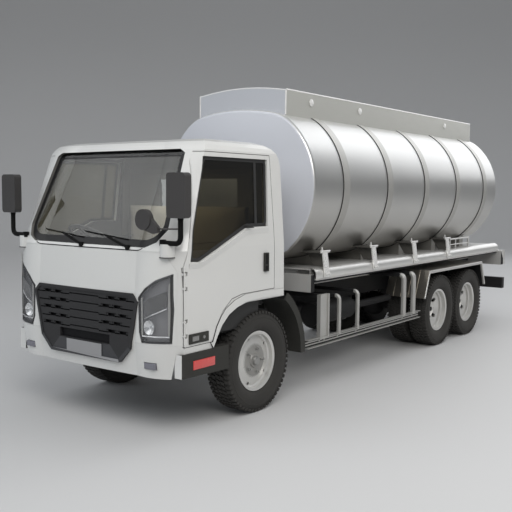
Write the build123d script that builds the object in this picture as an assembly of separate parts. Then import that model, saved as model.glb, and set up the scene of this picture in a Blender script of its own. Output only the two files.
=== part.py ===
"""Three-axle tanker truck with a tilting cab, modelled in millimetres.

Sizes are worked out from the front axle (y = 0 here): -y is forward, +x is the vehicle's left, z = 0 is
the road. Each node is moved back by ORIGIN_Y as it is written, so that the origin of the part is the
bottom centre of its box.
"""
import math
import os

from build123d import *

os.makedirs("parts", exist_ok=True)

# ---- driving dimensions: axles and wheels ----
TYRE_R = 430.0
TYRE_W = 232.0
TRACK_HALF = 797.0          # wheel centre, front and outer rear
TWIN_PITCH = 278.0          # between the two wheels of a twin
REAR_AXLES = (3683.0, 4586.0)
RIM_R = 253.0
RIM_W = 166.0
REAR_DISH = 62.0
STUB_R = 28.0
RUNNING_GAP = 0.3
KINGPIN_X = 660.0
KINGPIN_R = 18.0
STEER_ARM = 170.0

# ---- driving dimensions: chassis ----
RAIL_OUTER = 375.0
RAIL_FLANGE = 65.0
RAIL_WALL = 8.0
RAIL_Z0 = 690.0
RAIL_Z1 = 890.0
RAIL_FRONT = -880.0
RAIL_REAR = 5870.0
CROSS_PITCH = 690.0

# ---- driving dimensions: deck and tank ----
DECK_FRONT = 945.0
DECK_TOP = 1120.0
DECK_PLATE = 12.0
SILL_OUTER = 820.0
SILL_Z0 = 985.0
SILL_Z1 = 1132.0
SILL_ROUND = 66.0
SILL_INNER = 745.0
SILL_FRONT = 1005.0
SILL_SKIN = 6.0
BEARER_DEEP = 100.0
HOOP_R = 11.0
HOOP_Y0 = 4275.0
HOOP_Y1 = 4882.0
HOOP_TOP = 1257.0
REAR_END = 6053.0
TANK_FRONT = 750.0
TANK_REAR = 5530.0
TANK_HALF_W = 912.0
TANK_HALF_H = 736.0
TANK_Z = 1901.0
CROWN_R = 2300.0
FLANK_R = 780.0
CORNER_R = 420.0
HEAD_DISH_R = 6000.0
HEAD_KNUCKLE = 34.0
BAND_FIRST = 1330.0
BAND_PITCH = 910.0
BAND_COUNT = 5
BAND_W = 118.0
BAND_T = 8.0
LEG_YS = (1179.0, 2152.0, 3130.0, 4081.0)
LEG_W = 84.0
LEG_T = 14.0
LEG_TOP_X = 793.0
LEG_TOP_Z = 1282.0
LEG_LEAN = 33.0
LEG_FOOT_Z = 1036.0
SHELF_HALF = 85.0
WEB_T = 10.0
WEB_FOOT_X = 690.0
WEB_FOOT_Z = 1133.0
SADDLE_HALF = 600.0

# ---- driving dimensions: cab ----
CAB_WALL = 55.0
CAB_FLOOR_Z = 1010.0
FOOTWELL_Z = 705.0
CAB_BOTTOM = 650.0
ARCH_TOP = 960.0
TUNNEL_HALF = 430.0
TUNNEL_TOP = 940.0
BUMPER_Z0 = 457.0
BUMPER_Z1 = 716.0
BUMPER_BACK = -1015.0
PIVOT_Y = -900.0
PIVOT_Z = 640.0
PIVOT_R = 28.0
DOOR_FRONT = -975.0
DOOR_REAR = 140.0
DOOR_GAP = 5.0
HINGE_GAP = 12.0
HINGE_X = 938.0
HINGE_Y = -965.0
HINGE_R = 8.0

CAB_FRONT = -1119.0
KERB_MIRROR_FRONT = -1165.0
ORIGIN_Y = (KERB_MIRROR_FRONT + REAR_END) / 2


# ---- small helpers ----
def box(x0, x1, y0, y1, z0, z1):
    """A block between two corners."""
    return Pos((x0 + x1) / 2, (y0 + y1) / 2, (z0 + z1) / 2) * Box(x1 - x0, y1 - y0, z1 - z0)


def prism_x(points, x0, x1):
    """An outline of (y, z) points pushed from x0 to x1."""
    face = make_face(Polyline(*[(x0, y, z) for y, z in points], close=True))
    return extrude(face, amount=x1 - x0, dir=(1, 0, 0))


def prism_y(points, y0, y1):
    """An outline of (x, z) points pushed from y0 to y1."""
    face = make_face(Polyline(*[(x, y0, z) for x, z in points], close=True))
    return extrude(face, amount=y1 - y0, dir=(0, 1, 0))


def rod_x(x0, x1, y, z, r):
    """A round bar along x."""
    return Pos((x0 + x1) / 2, y, z) * Rot(0, 90, 0) * Cylinder(r, x1 - x0)


def rod_y(x, y0, y1, z, r):
    """A round bar along y."""
    return Pos(x, (y0 + y1) / 2, z) * Rot(90, 0, 0) * Cylinder(r, y1 - y0)


def rod_z(x, y, z0, z1, r):
    """A round bar along z."""
    return Pos(x, y, (z0 + z1) / 2) * Cylinder(r, z1 - z0)


def bent_tube(points, bend, r):
    """A round tube through the given corners, with round bends."""
    path = FilletPolyline(*points, radius=bend)
    return sweep(Plane(origin=path @ 0, z_dir=path % 0) * Circle(r), path=path)


def other_side(shape):
    """The same piece on the vehicle's right."""
    return mirror(shape, about=Plane.YZ)


def both(shape):
    """A piece and its mirror image, as a list."""
    return [shape, other_side(shape)]


def fuse(pieces):
    """Pieces that touch, joined."""
    whole = pieces[0]
    for piece in pieces[1:]:
        whole = whole + piece
    return whole


def node(name, *shapes):
    """Writes one node, moved so that the part's origin is under its middle."""
    solids = []
    for shape in shapes:
        solids += list(shape.solids())
    whole = Compound(solids) if len(solids) > 1 else solids[0]
    export_step(Pos(0, -ORIGIN_Y, 0) * whole, f"parts/{name}.step")
    return whole


# ---- wheels: profiles are (distance out from the wheel centre, radius) ----
def ring_of(profile, x, y):
    """A profile turned about the wheel's own axis, which lies along x."""
    face = make_face(Polyline(*[(u, 0, r) for u, r in profile], close=True))
    return Pos(x, y, TYRE_R) * revolve(face, Axis.X, 360)


HALF_W = TYRE_W / 2
RIM_HALF = RIM_W / 2
BEAD_R = RIM_R - 17.0


def tyre(x, y):
    """One tyre: flat tread, shoulders, bulged sidewalls and beads."""
    half = [(HALF_W - 19, TYRE_R), (HALF_W - 5, TYRE_R - 13), (HALF_W, TYRE_R - 92), (RIM_HALF + 1, RIM_R + 9),
            (RIM_HALF - 7.5, RIM_R + 1), (RIM_HALF - 9.5, BEAD_R + RUNNING_GAP)]
    return ring_of([(-u, r) for u, r in reversed(half)] + half, x, y)


def rim(x, y, out, disc_at, disc_dish, hub_to):
    """A rim with its disc; out is the side that faces outwards, +1 or -1."""
    wall = 7.0
    outer = RIM_HALF
    barrel = [(-outer, RIM_R), (-outer + 7, RIM_R), (-outer + 9, BEAD_R), (-30, BEAD_R), (-20, BEAD_R - 14),
              (30, BEAD_R - 14), (40, BEAD_R), (outer - 9, BEAD_R), (outer - 7, RIM_R), (outer, RIM_R),
              (outer, RIM_R - wall), (outer - 6, BEAD_R - wall), (40, BEAD_R - wall), (30, BEAD_R - 14 - wall),
              (-20, BEAD_R - 14 - wall), (-30, BEAD_R - wall), (-outer + 6, BEAD_R - wall), (-outer, RIM_R - wall)]
    edge = BEAD_R - 14 - wall + 1
    disc = [(disc_at - 12, edge), (disc_at, edge), (disc_dish + 10, 128), (disc_dish + 10, 62), (hub_to, 56),
            (hub_to, STUB_R + RUNNING_GAP), (disc_dish - 40, STUB_R + RUNNING_GAP), (disc_dish - 40, 90),
            (disc_dish - 4, 90), (disc_dish - 4, 126)]
    if out < 0:
        barrel = [(-u, r) for u, r in barrel]
        disc = [(-u, r) for u, r in disc]
    return ring_of(barrel, x, y) + ring_of(disc, x, y)


def hand_holes(x, y, radius, count, size_r, x_span):
    """The ring of openings through a wheel's disc."""
    cutters = []
    for step in range(count):
        angle = 2 * math.pi * (step + 0.5) / count
        cy = y + radius * math.cos(angle)
        cz = TYRE_R + radius * math.sin(angle)
        cutters.append(rod_x(x - x_span, x + x_span, cy, cz, size_r))
    return cutters


def front_wheel(side):
    """Rim with a disc near its outer face, and the brake drum inside."""
    x = side * TRACK_HALF
    body = rim(x, 0, side, 30, 45, 66)
    drum = ring_of([(side * -62, 160), (side * 30, 160), (side * 30, 80), (side * 22, 80), (side * 22, 150),
                    (side * -62, 150)], x, 0)
    cut = hand_holes(x, 0, 200, 5, 14, 120)
    body = body - fuse_apart(cut)
    return body + drum


def fuse_apart(pieces):
    """Cutters that don't touch, as one compound."""
    return Compound([solid for piece in pieces for solid in piece.solids()])


def rear_wheel(side, y):
    """Two rims back to back, their discs bolted together on one hub."""
    outer_x = side * TRACK_HALF
    inner_x = side * (TRACK_HALF - TWIN_PITCH)
    meet = TWIN_PITCH / 2
    out_rim = rim(outer_x, y, -side, 18, REAR_DISH, REAR_DISH + 10)
    in_rim = rim(inner_x, y, side, 18, REAR_DISH, REAR_DISH + 10)
    hub_mid = (outer_x + inner_x) / 2
    cut = hand_holes(hub_mid, y, 160, 5, 27, 135)
    seat = meet - REAR_DISH - 8
    hub = ring_of([(side * -seat, 95), (side * seat, 95), (side * (seat + 8), 70), (side * (seat + 40), 62),
                   (side * (seat + 56), 48), (side * (seat + 56), STUB_R + RUNNING_GAP),
                   (side * -seat, STUB_R + RUNNING_GAP)], hub_mid, y)
    drum = ring_of([(side * -150, 160), (side * -40, 160), (side * -40, 90), (side * -48, 90), (side * -48, 150),
                    (side * -150, 150)], hub_mid, y)
    return (out_rim + in_rim + hub + drum) - fuse_apart(cut)


def write_wheels():
    """Two steered single wheels and four twins."""
    for side, label in ((1, "left"), (-1, "right")):
        node(f"tyre_front_{label}", tyre(side * TRACK_HALF, 0))
        node(f"rim_front_{label}", front_wheel(side))
        for count, y in enumerate(REAR_AXLES, 1):
            pair = [tyre(side * TRACK_HALF, y), tyre(side * (TRACK_HALF - TWIN_PITCH), y)]
            node(f"tyres_rear{count}_{label}", *pair)
            node(f"rims_rear{count}_{label}", rear_wheel(side, y))


# ---- steering: beam axle, knuckles and tie rod ----
BEAM_HALF_H = 45.0
LUG_H = 50.0
LUG_R = 38.0
ARM_Z0 = 330.0
ARM_Z1 = 352.0
TIE_Z = 380.0
TIE_R = 12.0
BALL_PIN_R = 8.0
OPEN_PIVOT_GAP = 4.0


def write_steering():
    """The beam carries a kingpin at each end; the knuckle's two lugs turn on it."""
    top = TYRE_R + BEAM_HALF_H
    low = TYRE_R - BEAM_HALF_H
    beam = box(-KINGPIN_X + 60, KINGPIN_X - 60, -30, 30, low, top)
    beam -= box(-KINGPIN_X + 90, KINGPIN_X - 90, 10, 31, low + 14, top - 14)
    beam -= box(-KINGPIN_X + 90, KINGPIN_X - 90, -31, -10, low + 14, top - 14)
    for side in (1, -1):
        beam += rod_z(side * KINGPIN_X, 0, low, top, LUG_R)
        beam += box(min(side * 590, side * 640), max(side * 590, side * 640), -28, 28, low, top)
        beam += rod_z(side * KINGPIN_X, 0, low - LUG_H, top + LUG_H, KINGPIN_R)
    node("front_axle", beam, *both(leaf_pack(0, top, 560, RAIL_Z0 - 60)))
    for side, label in ((1, "left"), (-1, "right")):
        hole = BALL_PIN_R + (RUNNING_GAP if side > 0 else OPEN_PIVOT_GAP)
        upper = rod_z(side * KINGPIN_X, 0, top + RUNNING_GAP, top + LUG_H, LUG_R)
        lower = rod_z(side * KINGPIN_X, 0, low - LUG_H, low - RUNNING_GAP, LUG_R)
        x0, x1 = sorted((side * (KINGPIN_X + 20), side * (KINGPIN_X + 70)))
        web = box(x0, x1, -34, 34, low - LUG_H, top + LUG_H)
        web -= rod_z(side * KINGPIN_X, 0, low - RUNNING_GAP, top + RUNNING_GAP, LUG_R + 4)
        stub_x = sorted((side * (KINGPIN_X + 60), side * (TRACK_HALF + 62)))
        stub = rod_x(stub_x[0], stub_x[1], 0, TYRE_R, STUB_R)
        arm = box(side * KINGPIN_X - 15, side * KINGPIN_X + 15, 0, STEER_ARM, ARM_Z0, ARM_Z1)
        arm += rod_z(side * KINGPIN_X, STEER_ARM, ARM_Z0, ARM_Z1, 19)
        knuckle = upper + lower + web + stub + arm
        knuckle -= rod_z(side * KINGPIN_X, 0, 200, 700, KINGPIN_R + RUNNING_GAP)
        knuckle -= rod_z(side * KINGPIN_X, STEER_ARM, ARM_Z0 - 1, ARM_Z1 + 1, hole)
        node(f"knuckle_{label}", knuckle)
    rod = rod_x(-KINGPIN_X, KINGPIN_X, STEER_ARM, TIE_Z, TIE_R)
    for side in (1, -1):
        rod += rod_z(side * KINGPIN_X, STEER_ARM, TIE_Z - 22, TIE_Z + 14, 16)
        rod += rod_z(side * KINGPIN_X, STEER_ARM, ARM_Z0, TIE_Z, BALL_PIN_R)
    node("tie_rod", rod)


def leaf_pack(y, seat_z, half_length, eye_z):
    """A bowed pack of leaves on an axle, with its hangers up to the rail."""
    x0 = RAIL_OUTER - RAIL_FLANGE
    x1 = RAIL_OUTER
    thick = 50.0
    bow = [(y - half_length, eye_z), (y - 90, seat_z), (y + 90, seat_z), (y + half_length, eye_z),
           (y + half_length, eye_z + 18), (y + 90, seat_z + thick), (y - 90, seat_z + thick),
           (y - half_length, eye_z + 18)]
    pack = prism_x(bow, x0, x1)
    for end in (-1, 1):
        centre = y + end * half_length
        pack += rod_x(x0, x1, centre, eye_z + 9, 24)
        pack += box(x0 + 5, x1 - 5, centre - 22, centre + 22, eye_z + 9, RAIL_Z0)
    return pack


# ---- chassis frame ----
def write_frame():
    """Two C rails, tubes across them, the cab's pivot tube and the rests for its back edge."""
    rail = box(RAIL_OUTER - RAIL_FLANGE, RAIL_OUTER, RAIL_FRONT, RAIL_REAR, RAIL_Z0, RAIL_Z1)
    rail -= box(RAIL_OUTER - RAIL_FLANGE - 1, RAIL_OUTER - RAIL_WALL, RAIL_FRONT - 1, RAIL_REAR + 1,
                RAIL_Z0 + RAIL_WALL, RAIL_Z1 - RAIL_WALL)
    pieces = both(rail)
    reach = RAIL_OUTER - RAIL_WALL
    count = int((RAIL_REAR - 60 - (RAIL_FRONT + 60)) / CROSS_PITCH) + 1
    pitch = (RAIL_REAR - 60 - (RAIL_FRONT + 60)) / count
    for step in range(count + 1):
        y = RAIL_FRONT + 60 + step * pitch
        low = RAIL_Z1 - 60 if ENGINE_FRONT - 80 < y < GEARBOX_REAR + 60 else RAIL_Z1 - 150
        pieces.append(box(-reach, reach, y - 30, y + 30, low, RAIL_Z1 - RAIL_WALL))
    for side in (1, -1):
        x0, x1 = sorted((side * (RAIL_OUTER - RAIL_FLANGE), side * RAIL_OUTER))
        pieces.append(prism_x([(PIVOT_Y - 45, PIVOT_Z - 45), (PIVOT_Y + 45, PIVOT_Z - 45), (PIVOT_Y + 130, RAIL_Z0),
                               (PIVOT_Y + 20, RAIL_Z0), (PIVOT_Y - 45, PIVOT_Z + 40)], x0, x1))
        pieces.append(box(x0, x1, CAB_REST_Y - 35, CAB_REST_Y + 35, RAIL_Z1, ARCH_TOP - RUNNING_GAP))
    pieces.append(rod_x(-TUNNEL_HALF, TUNNEL_HALF, PIVOT_Y, PIVOT_Z, PIVOT_R))
    node("frame", fuse(pieces))


ENGINE_FRONT = -400.0
ENGINE_REAR = 560.0
GEARBOX_REAR = 1080.0
CAB_REST_Y = 215.0


def write_driveline():
    """Engine and gearbox as plain blocks, the drive axles on their leaves, fuel tank and silencer."""
    engine = box(-265, 265, ENGINE_FRONT, ENGINE_REAR, 500, 800)
    engine += box(-150, 150, ENGINE_REAR, GEARBOX_REAR, 520, 760)
    engine += box(-RAIL_OUTER + RAIL_WALL, RAIL_OUTER - RAIL_WALL, -60, 0, 700, 760)
    node("engine_and_gearbox", engine)
    first, second = REAR_AXLES
    housings = []
    for y in REAR_AXLES:
        tube = rod_x(-TRACK_HALF + 10, TRACK_HALF - 10, y, TYRE_R, STUB_R)
        tube += rod_x(-365, 365, y, TYRE_R, 52)
        tube += Pos(0, y, TYRE_R) * Sphere(150)
        housings.append(tube)
    shaft = rod_y(0, first, second, TYRE_R, 34)
    housings.append(shaft)
    drop = TYRE_R + 40
    angle = math.degrees(math.atan2(640 - drop, first - GEARBOX_REAR))
    length = math.hypot(640 - drop, first - 100 - GEARBOX_REAR)
    prop = Pos(0, (GEARBOX_REAR + first - 100) / 2, (640 + drop) / 2) * Rot(90 - angle, 0, 0) * Cylinder(38, length)
    housings.append(prop - box(-200, 200, GEARBOX_REAR - 200, GEARBOX_REAR, 400, 900))
    node("drive_axles", fuse(housings))
    packs = []
    for y in REAR_AXLES:
        packs += both(leaf_pack(y, TYRE_R + 52, 380, RAIL_Z0 - 50))
    node("rear_springs", *packs)
    fuel = box(-835, -425, 1480, 2380, 470, 830)
    fuel = fillet(fuel.edges().filter_by(Axis.Y), 60)
    for y in (1600, 2260):
        fuel += box(-425, -RAIL_OUTER, y - 25, y + 25, 700, 820)
    node("fuel_tank", fuel)
    silencer = rod_y(600, 1250, 1950, 640, 115)
    silencer += rod_y(600, 1950, 2900, 640, 38)
    for y in (1350, 1850):
        silencer += box(RAIL_OUTER, 520, y - 20, y + 20, 700, 740)
    node("silencer", silencer)


# ---- deck under the tank ----
def write_deck():
    """Bearers on the rails, cross members, the top plate and a box across each end."""
    pieces = []
    pieces += both(box(RAIL_OUTER - RAIL_FLANGE, RAIL_OUTER, DECK_FRONT + 60, RAIL_REAR, RAIL_Z1,
                       DECK_TOP - DECK_PLATE))
    count = 2 * (BAND_COUNT - 1) + 2
    for step in range(count):
        y = BAND_FIRST + BAND_W / 2 + step * BAND_PITCH / 2
        pieces.append(box(-SILL_INNER, SILL_INNER, y - 25, y + 25, DECK_TOP - BEARER_DEEP, DECK_TOP - DECK_PLATE))
    pieces.append(box(-SILL_INNER, SILL_INNER, DECK_FRONT + 60, RAIL_REAR, DECK_TOP - DECK_PLATE, DECK_TOP))
    pieces.append(box(-800, 800, DECK_FRONT, DECK_FRONT + 60, 905, 1070))
    node("deck", fuse(pieces))
    node("rear_box", box(-865, 865, RAIL_REAR, REAR_END - 25, 823, 1027))


def sill_section():
    """The half-round edge that runs along each side of the deck, open on its inner side."""
    inner, outer, low, high, r = SILL_INNER, SILL_OUTER, SILL_Z0, SILL_Z1, SILL_ROUND
    diagonal = math.sqrt(0.5)
    y = SILL_FRONT

    def corner(z_middle, up, radius):
        """End, middle and other end of a round corner's arc."""
        x = outer - r
        return [(x, y, z_middle + up * radius), (x + diagonal * radius, y, z_middle + up * diagonal * radius),
                (x + radius, y, z_middle)]

    top, top_in = corner(high - r, 1, r), corner(high - r, 1, r - SILL_SKIN)
    foot, foot_in = corner(low + r, -1, r), corner(low + r, -1, r - SILL_SKIN)
    web_foot = DECK_TOP - BEARER_DEEP
    edges = [
        Line((inner, y, high), top[0]),
        ThreePointArc(*top),
        Line(top[2], foot[2]),
        ThreePointArc(*foot[::-1]),
        Line(foot[0], foot_in[0]),
        ThreePointArc(*foot_in),
        Line(foot_in[2], top_in[2]),
        ThreePointArc(*top_in[::-1]),
        Line(top_in[0], (inner + SILL_SKIN, y, high - SILL_SKIN)),
        Line((inner + SILL_SKIN, y, high - SILL_SKIN), (inner + SILL_SKIN, y, web_foot)),
        Line((inner + SILL_SKIN, y, web_foot), (inner, y, web_foot)),
        Line((inner, y, web_foot), (inner, y, high)),
    ]
    return make_face(edges)


def write_sills():
    """One long rounded sill each side, with the low hand rail near its back end."""
    sill = extrude(sill_section(), amount=RAIL_REAR - SILL_FRONT, dir=(0, 1, 0))
    rail_x = SILL_INNER + 14
    hoop = rod_y(rail_x, HOOP_Y0 - HOOP_R, HOOP_Y1 + HOOP_R, HOOP_TOP, HOOP_R)
    hoop += rod_y(rail_x, HOOP_Y0, HOOP_Y1, HOOP_TOP - 70, HOOP_R - 4)
    for y, r in ((HOOP_Y0, HOOP_R - 2), (HOOP_Y0 + 178, HOOP_R - 2), (HOOP_Y1, HOOP_R + 2)):
        hoop += rod_z(rail_x, y, SILL_Z1 - 3, HOOP_TOP, r)
    node("deck_sills", *both(sill + hoop))


# ---- tank ----
def oval_corner():
    """Centres of the oval's corner, crown and flank arcs."""
    crown_z = TANK_HALF_H - CROWN_R
    flank_x = TANK_HALF_W - FLANK_R
    to_crown = CROWN_R - CORNER_R
    to_flank = FLANK_R - CORNER_R
    gap = math.hypot(flank_x, crown_z)
    along = (to_crown ** 2 - to_flank ** 2 + gap ** 2) / (2 * gap)
    off = math.sqrt(to_crown ** 2 - along ** 2)
    ux, uz = flank_x / gap, -crown_z / gap
    cx, cz = along * ux + off * uz, crown_z + along * uz - off * ux
    cx2, cz2 = along * ux - off * uz, crown_z + along * uz + off * ux
    if cx2 > cx:
        cx, cz = cx2, cz2
    return cx, cz, crown_z, flank_x


def tank_face(y, grow):
    """The tank's oval of eight tangent arcs, grown outwards by grow."""
    cx, cz, crown_z, flank_x = oval_corner()
    crown, flank, corner = CROWN_R + grow, FLANK_R + grow, CORNER_R + grow
    a1 = math.atan2(cz - crown_z, cx)
    a2 = math.atan2(cz, cx - flank_x)
    am = (a1 + a2) / 2
    top = (0, crown_z + crown)
    join1 = (crown * math.cos(a1), crown_z + crown * math.sin(a1))
    mid = (cx + corner * math.cos(am), cz + corner * math.sin(am))
    join2 = (flank_x + flank * math.cos(a2), flank * math.sin(a2))
    side = (flank_x + flank, 0)

    def at(point, sx, sz):
        return (sx * point[0], y, TANK_Z + sz * point[1])

    edges = [ThreePointArc(at(join1, -1, 1), at(top, 1, 1), at(join1, 1, 1)),
             ThreePointArc(at(join1, 1, 1), at(mid, 1, 1), at(join2, 1, 1)),
             ThreePointArc(at(join2, 1, 1), at(side, 1, 1), at(join2, 1, -1)),
             ThreePointArc(at(join2, 1, -1), at(mid, 1, -1), at(join1, 1, -1)),
             ThreePointArc(at(join1, 1, -1), at(top, 1, -1), at(join1, -1, -1)),
             ThreePointArc(at(join1, -1, -1), at(mid, -1, -1), at(join2, -1, -1)),
             ThreePointArc(at(join2, -1, -1), at(side, -1, 1), at(join2, -1, 1)),
             ThreePointArc(at(join2, -1, 1), at(mid, -1, 1), at(join1, -1, 1))]
    return make_face(edges)


def tank_prism(y0, y1, grow):
    """The oval pushed from y0 to y1."""
    return extrude(tank_face(y0, grow), amount=y1 - y0, dir=(0, 1, 0))


def make_tank():
    """A long oval shell with shallow dished heads and rounded knuckles."""
    shell = tank_prism(TANK_FRONT, TANK_REAR, 0)
    shell &= Pos(0, TANK_FRONT + HEAD_DISH_R, TANK_Z) * Sphere(HEAD_DISH_R)
    shell &= Pos(0, TANK_REAR - HEAD_DISH_R, TANK_Z) * Sphere(HEAD_DISH_R)
    shell = shell.solids()[0]
    ends = [edge for edge in shell.edges() if abs(edge.center().Y - (TANK_FRONT + TANK_REAR) / 2) > TANK_REAR / 3]
    return fillet(ends, HEAD_KNUCKLE)


def band_ys():
    """Where each strap starts."""
    return [BAND_FIRST + step * BAND_PITCH for step in range(BAND_COUNT)]


def write_tank():
    """Shell, five straps with their saddles and legs, tray with manhole necks, lids and the outlet."""
    shell = make_tank()
    node("tank_shell", shell)
    straps = []
    for y in band_ys():
        ring = tank_prism(y, y + BAND_W, BAND_T) - tank_prism(y - 1, y + BAND_W + 1, 0)
        saddle = box(-SADDLE_HALF, SADDLE_HALF, y, y + BAND_W, DECK_TOP, TANK_Z - TANK_HALF_H / 2)
        saddle -= tank_prism(y - 1, y + BAND_W + 1, BAND_T / 2)
        straps.append(fuse([ring, saddle]))
    for y in LEG_YS:
        foot_x = LEG_TOP_X + LEG_LEAN
        bar = prism_y([(LEG_TOP_X, LEG_TOP_Z), (LEG_TOP_X + LEG_T, LEG_TOP_Z), (foot_x + LEG_T, LEG_FOOT_Z),
                       (foot_x, LEG_FOOT_Z)], y - LEG_W / 2, y + LEG_W / 2)
        shelf = box(SADDLE_HALF, LEG_TOP_X + LEG_T, y - SHELF_HALF, y + SHELF_HALF, LEG_TOP_Z - LEG_T, LEG_TOP_Z)
        web = prism_y([(SADDLE_HALF, LEG_TOP_Z - LEG_T), (LEG_TOP_X + 2, LEG_TOP_Z - LEG_T), (LEG_TOP_X + 18, WEB_FOOT_Z),
                       (WEB_FOOT_X, WEB_FOOT_Z)], y - WEB_T / 2, y + WEB_T / 2)
        leg = fuse([bar, shelf, web])
        leg -= tank_prism(y - SHELF_HALF - 1, y + SHELF_HALF + 1, RUNNING_GAP)
        near = [band for band in band_ys() if band - LEG_W < y < band + BAND_W + LEG_W]
        for band in near:
            leg -= tank_prism(band - RUNNING_GAP, band + BAND_W + RUNNING_GAP, BAND_T + RUNNING_GAP)
        straps += both(leg)
    node("tank_straps", *straps)
    write_tray(shell)


TRAY_HALF = 532.0
TRAY_FRONT = 892.0
TRAY_REAR = 5400.0
TRAY_RISE = 167.0
TRAY_ARCH = 48.0
TRAY_TOP = TANK_Z + TANK_HALF_H + TRAY_RISE
TRAY_CROWN = TRAY_TOP + TRAY_ARCH
TRAY_WALL = 8.0
BOSS_YS = (1318.0, 2277.0, 4520.0)
BOSS_DROP = 88.0
BOSS_R = 26.0
NECK_R = 240.0
NECK_RISE = 98.0
NECK_TOP = TANK_Z + TANK_HALF_H + NECK_RISE
LID_T = 24.0
LID_YS = (1770.0, 4500.0)
LID_HINGE_OUT = 285.0


def write_tray(shell):
    """The spill tray along the top: two side plates, an arched plate at the front and one at the back."""
    low = TANK_Z + 500
    sides = both(box(TRAY_HALF - TRAY_WALL, TRAY_HALF, TRAY_FRONT, TRAY_REAR, low, TRAY_TOP))
    foot = [(side * TRAY_HALF, TRAY_FRONT, low) for side in (-1, 1)]
    top = [(side * TRAY_HALF, TRAY_FRONT, TRAY_TOP) for side in (-1, 1)]
    arch = make_face([Line(foot[0], foot[1]), Line(foot[1], top[1]), Line(top[0], foot[0]),
                      ThreePointArc(top[1], (0, TRAY_FRONT, TRAY_CROWN), top[0])])
    back = box(-TRAY_HALF, TRAY_HALF, TRAY_REAR - TRAY_WALL, TRAY_REAR, low, TRAY_TOP)
    tray = fuse(sides + [extrude(arch, amount=TRAY_WALL, dir=(0, 1, 0)), back])
    tray = tray - shell
    for y in band_ys():
        tray -= tank_prism(y, y + BAND_W, BAND_T)
    for y in BOSS_YS:
        z = TRAY_TOP - BOSS_DROP
        tray += rod_x(TRAY_HALF - 1, TRAY_HALF + 6, y, z, BOSS_R) + rod_x(-TRAY_HALF - 6, -TRAY_HALF + 1, y, z, BOSS_R)
    node("tank_tray", tray)
    for count, y in enumerate(LID_YS, 1):
        neck = rod_z(0, y, TANK_Z + 600, NECK_TOP, NECK_R) - rod_z(0, y, TANK_Z + 600, NECK_TOP + 1, NECK_R - 10)
        for x in (-60, 60):
            neck += box(x - 12, x + 12, y + NECK_R - 6, y + LID_HINGE_OUT + 10, NECK_TOP - 40, NECK_TOP + 24)
        neck += rod_x(-72, 72, y + LID_HINGE_OUT, NECK_TOP + 12, 7)
        neck -= rod_z(0, y, NECK_TOP, NECK_TOP + 100, NECK_R + 16)
        node(f"manhole_neck_{count}", neck - shell)
    for count, y in enumerate(LID_YS, 1):
        lid = rod_z(0, y, NECK_TOP + RUNNING_GAP, NECK_TOP + LID_T, NECK_R + 10)
        lid += rod_z(0, y, NECK_TOP + LID_T, NECK_TOP + LID_T + 14, 90)
        lid += box(-34, 34, y + NECK_R - 30, y + LID_HINGE_OUT, NECK_TOP + 6, NECK_TOP + 18)
        lid += rod_x(-34, 34, y + LID_HINGE_OUT, NECK_TOP + 12, 15)
        lid -= rod_x(-200, 200, y + LID_HINGE_OUT, NECK_TOP + 12, 7 + RUNNING_GAP)
        node(f"manhole_lid_{count}", lid)
    flange_y = 5720.0
    outlet = rod_y(0, TANK_REAR - 90, flange_y, OUTLET_Z, 44.5) + rod_y(0, flange_y - 20, flange_y, OUTLET_Z, 100)
    holes = []
    for step in range(8):
        angle = 2 * math.pi * (step + 0.5) / 8
        holes.append(rod_y(80 * math.cos(angle), flange_y - 30, flange_y + 10, OUTLET_Z + 80 * math.sin(angle), 9))
    outlet -= fuse_apart(holes)
    outlet -= rod_y(0, flange_y - 130, flange_y + 1, OUTLET_Z, 40)
    node("outlet_pipe", outlet - shell)


OUTLET_Z = 1330.0


# ---- guards, fenders and the back of the chassis ----
GUARD_X = 900.0
GUARD_Z0 = 407.0
GUARD_Z1 = 487.0
GUARD_DEEP = 45.0
GUARD_FRONT = 756.0
GUARD_REAR = 3141.0


def bent_post(y, width, section, top, bend):
    """A bar that rises from the channel and turns inwards to the rail on a round bend."""
    x = GUARD_X - 2 - section / 2
    path = FilletPolyline((x, y, GUARD_Z1 - 20), (x, y, top - section / 2), (RAIL_OUTER, y, top - section / 2),
                          radius=bend)
    return sweep(Plane(origin=path @ 0, z_dir=(0, 0, 1)) * RectangleRounded(section, width, section / 3), path=path)


def write_guards():
    """Side guards: a channel along the bottom hung on bent posts."""
    rail = box(GUARD_X - GUARD_DEEP, GUARD_X, GUARD_FRONT, GUARD_REAR, GUARD_Z0, GUARD_Z1)
    rail -= box(GUARD_X - GUARD_DEEP + 6, GUARD_X + 1, GUARD_FRONT - 1, GUARD_REAR + 1, GUARD_Z0 + 6, GUARD_Z1 - 6)
    for z in (GUARD_Z0 + 22, GUARD_Z1 - 34):
        rail += box(GUARD_X - GUARD_DEEP, GUARD_X - GUARD_DEEP + 14, GUARD_FRONT, GUARD_REAR, z, z + 12)
    pieces = [rail]
    for y, width, section, top, bend in ((1331, 36, 36, 862, 40), (1693, 36, 36, 872, 40),
                                         (2740, 62, 44, 952, 52), (2985, 62, 44, 952, 52)):
        pieces.append(bent_post(y, width, section, top, bend))
    first = box(GUARD_X - 42, GUARD_X - 2, 965, 1125, GUARD_Z1 - 20, 888)
    first -= box(GUARD_X - 14, GUARD_X, 985, 1105, GUARD_Z1, 889)
    first += box(RAIL_OUTER, GUARD_X - 42, 1025, 1065, 848, 888)
    pieces.append(first)
    whole = fuse(pieces)
    node("side_guards", *both(whole))


FENDER_X = 930.0
FENDER_IN = 427.0


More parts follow.
